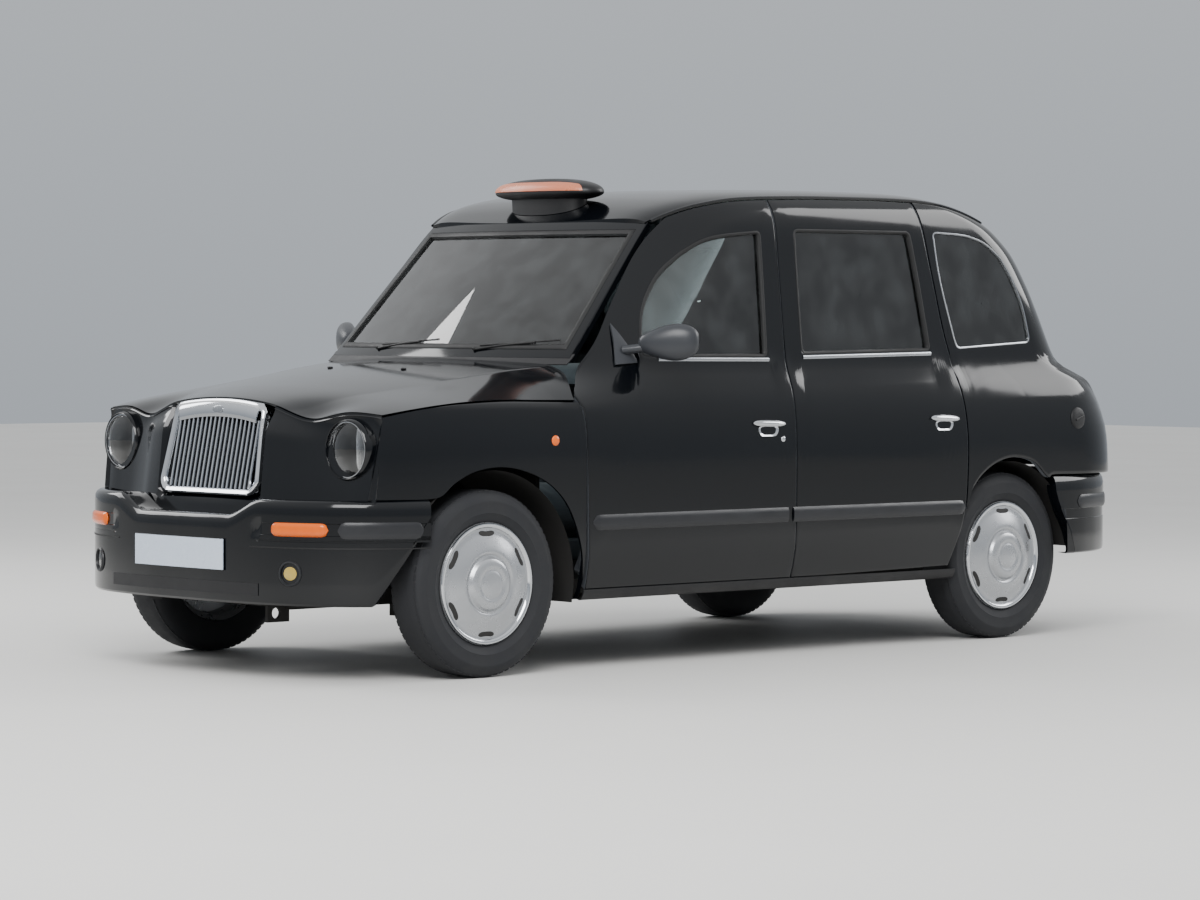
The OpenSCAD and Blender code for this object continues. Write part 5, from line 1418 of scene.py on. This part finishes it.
def make_partition():
    hole = [(x, z) for x, z in along([(-560, 1100), (-540, 1080), (540, 1080), (560, 1100), (560, 1580),
                                      (540, 1600), (-540, 1600),
                                      (-560, 1580), (-560, 1100)], 120, False, False)]
    out = [(x, z) for x, z in along([(-688, 400), (-668, 337), (668, 337), (688, 400), (640, 1640),
                                     (600, 1696), (-600, 1696),
                                     (-640, 1640), (-688, 400)], 120, False, False)]
    rows = [[(x, 1640 + e, z) for x, z in line] for line, e in ((hole, 4), (out, 4), (out, 32), (hole, 32))]
    finish_piece(grid_piece(rows, wrap_cols=True, wrap_rows=True), "partition_panel", "body", mats("cabin"),
                 40, ("partition",))
    pane = [[(x, 1656, z) for x in np.linspace(-566, 566, 9)] for z in np.linspace(1076, 1604, 9)]
    finish_piece(shell(pane, 5), "partition_glass", "body", mats("glass"), 40, ())
    rim = tube([(x, 1656, z) for x, z in hole] + [(hole[0][0], 1656, hole[0][1])], 9, 10, up=(0, 1, 0))
    finish_piece(rim, "partition_rim", "body", mats("rubber"), 50, ())


# ---- the packed part's own nodes that stay in view ----
KEEP = {"body_frame": "paint", "floor_pan": "under", "chassis_frame": "under", "engine": "casting",
        "rear_axle": "casting",
        "exhaust": "steel", "knuckle_left": "casting", "knuckle_right": "casting"}


def dress_nodes():
    """Give every carried-over node its finish."""
    for obj in bpy.data.objects:
        if obj.type != "MESH":
            continue
        for key, name in KEEP.items():
            if obj.name == key or obj.name.startswith(key + "."):
                for s in obj.material_slots:
                    s.material = MATERIALS[name]


class CabSizes(bpy.types.PropertyGroup):
    lens_mm: bpy.props.FloatProperty(name="Lens", description="Lens of the stage camera in mm",
                                     default=120.0)
    stage_m: bpy.props.FloatProperty(name="Stage", description="Length of the studio floor", default=60.0,
                                     unit="LENGTH")
    light_w: bpy.props.FloatProperty(name="Light", description="Power of the main soft light in watts",
                                     default=900.0)


def operator(idname, label, text, work):
    """An operator class that runs one builder function."""
    def execute(self, context):
        work()
        return {"FINISHED"}
    return type("CAB_OT_" + idname, (bpy.types.Operator,),
                {"bl_idname": "cab." + idname, "bl_label": label, "__doc__": text,
                                                            "execute": execute})


def make_stage():
    """Pale floor, soft light and the camera."""
    sizes = bpy.context.scene.cab_sizes
    deselect()
    bpy.ops.mesh.primitive_plane_add(size=sizes.stage_m)
    floor = bpy.context.object
    floor.name = "stage_floor"
    floor.data.materials.append(MATERIALS["floor"])
    world = bpy.data.worlds.new("soft_sky")
    bpy.context.scene.world = world
    world.use_nodes = True
    t = world.node_tree
    t.nodes.clear()
    c = node(t, "ShaderNodeTexCoord")
    split = node(t, "ShaderNodeSeparateXYZ", {0: c.outputs["Generated"]})
    up = node(t, "ShaderNodeMapRange", {"Value": split.outputs["Z"], "From Min": -0.1, "From Max": 0.55})
    sky = node(t, "ShaderNodeMix", {0: up.outputs[0]}, data_type="RGBA")
    sky.inputs[6].default_value = shade("9FA6AE")
    sky.inputs[7].default_value = shade("F4F6F8")
    back = node(t, "ShaderNodeBackground", {"Color": sky.outputs[2], "Strength": 1.05})
    node(t, "ShaderNodeOutputWorld", {"Surface": back.outputs[0]})
    for name, at, size, power in (("light_main", (5.0, -6.5, 6.5), 5.0, sizes.light_w),
                                  ("light_far", (-6, -3, 5), 4.0, 350),
                                  ("light_rear", (3.0, 7.0, 4.5), 4.0, 300)):
        lamp = bpy.data.lights.new(name, "AREA")
        lamp.energy, lamp.size = power, size
        obj = bpy.data.objects.new(name, lamp)
        bpy.context.scene.collection.objects.link(obj)
        obj.location = at
        obj.rotation_euler = (Vector((0, 0, 0.8)) - Vector(at)).to_track_quat("-Z", "Y").to_euler()
    cam = bpy.data.cameras.new("camera_main")
    cam.lens, cam.sensor_width = sizes.lens_mm, 36
    cam.clip_end = 200
    obj = bpy.data.objects.new("camera_main", cam)
    bpy.context.scene.collection.objects.link(obj)
    a, e, r = math.radians(46.327), math.radians(1.79), math.radians(0.297)
    d = Vector((-math.sin(a) * math.cos(e), math.cos(a) * math.cos(e), -math.sin(e)))
    right = Vector((math.cos(a), math.sin(a), 0))
    up = right.cross(d)
    r2, u2 = right * math.cos(r) + up * math.sin(r), up * math.cos(r) - right * math.sin(r)
    turn = Matrix((r2, u2, -d)).transposed()
    obj.matrix_world = Matrix.Translation((11.6261, -11.2606, 1.2844)) @ turn.to_4x4()
    bpy.context.scene.camera = obj


WORK = (
    ("finishes", "Make finishes", "Make every material and dress the frame's own nodes.",
     lambda: (MATERIALS.update(make_materials()), dress_nodes())),
    ("doors", "Build doors", "Build the four door panels.", make_doors),
    ("door_glass", "Build door glass", "Build the door windows and seals.", make_door_glass),
    ("quarters", "Build rear body", "Build the rear side panels, arches and rear window.", make_quarters),
    ("wings", "Build front wings", "Build both front wings and arch linings.", make_wings),
    ("bonnet", "Build bonnet", "Build the bonnet and its washer jets.", make_bonnet),
    ("roof", "Build roof", "Build the roof and its lining.", make_roof),
    ("boot", "Build boot lid", "Build the boot lid, its handle and lamp.", make_boot),
    ("nose", "Build nose", "Build the nose panel and the lamps.", make_front_panel),
    ("grille", "Build grille", "Build the grille and its bars.", make_grille),
    ("bumpers", "Build bumpers", "Build both bumpers with their mouldings.", make_bumpers),
    ("screen", "Build windscreen", "Build the windscreen, wipers and plates.", make_screen),
    ("trims", "Build trims", "Build strips, handles and the filler cap.", make_trims),
    ("mirrors", "Build mirrors", "Build both door mirrors.", make_mirrors),
    ("sign", "Build roof sign", "Build the roof sign.", make_sign),
    ("wheels", "Build wheels", "Build tyres, rims and wheel covers.", make_wheels),
    ("seats", "Build seats", "Build the padded seats.", make_seats),
    ("dashboard", "Build dashboard", "Build the dashboard and steering wheel.", make_dashboard),
    ("partition", "Build partition", "Build the partition and its pane.", make_partition),
    ("stage", "Build stage", "Build the floor, lights and camera.", make_stage),
)
OPERATORS = [operator(*row) for row in WORK]


class CAB_PT_panel(bpy.types.Panel):
    bl_label = "City taxi cab"
    bl_idname = "CAB_PT_panel"
    bl_space_type = "VIEW_3D"
    bl_region_type = "UI"
    bl_category = "Cab"

    def draw(self, context):
        sizes = context.scene.cab_sizes
        for field in ("lens_mm", "stage_m", "light_w"):
            self.layout.prop(sizes, field)
        for cls in OPERATORS:
            self.layout.operator(cls.bl_idname)


def register():
    for cls in [CabSizes, *OPERATORS, CAB_PT_panel]:
        bpy.utils.register_class(cls)
    bpy.types.Scene.cab_sizes = bpy.props.PointerProperty(type=CabSizes)


def unregister():
    del bpy.types.Scene.cab_sizes
    for cls in [CAB_PT_panel, *OPERATORS[::-1], CabSizes]:
        bpy.utils.unregister_class(cls)


def main():
    register()
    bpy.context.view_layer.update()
    for cls in OPERATORS:
        group, name = cls.bl_idname.split(".")
        if getattr(getattr(bpy.ops, group), name)() != {"FINISHED"}:
            raise RuntimeError("not finished: " + cls.bl_idname)


if __name__ == "__main__":
    main()
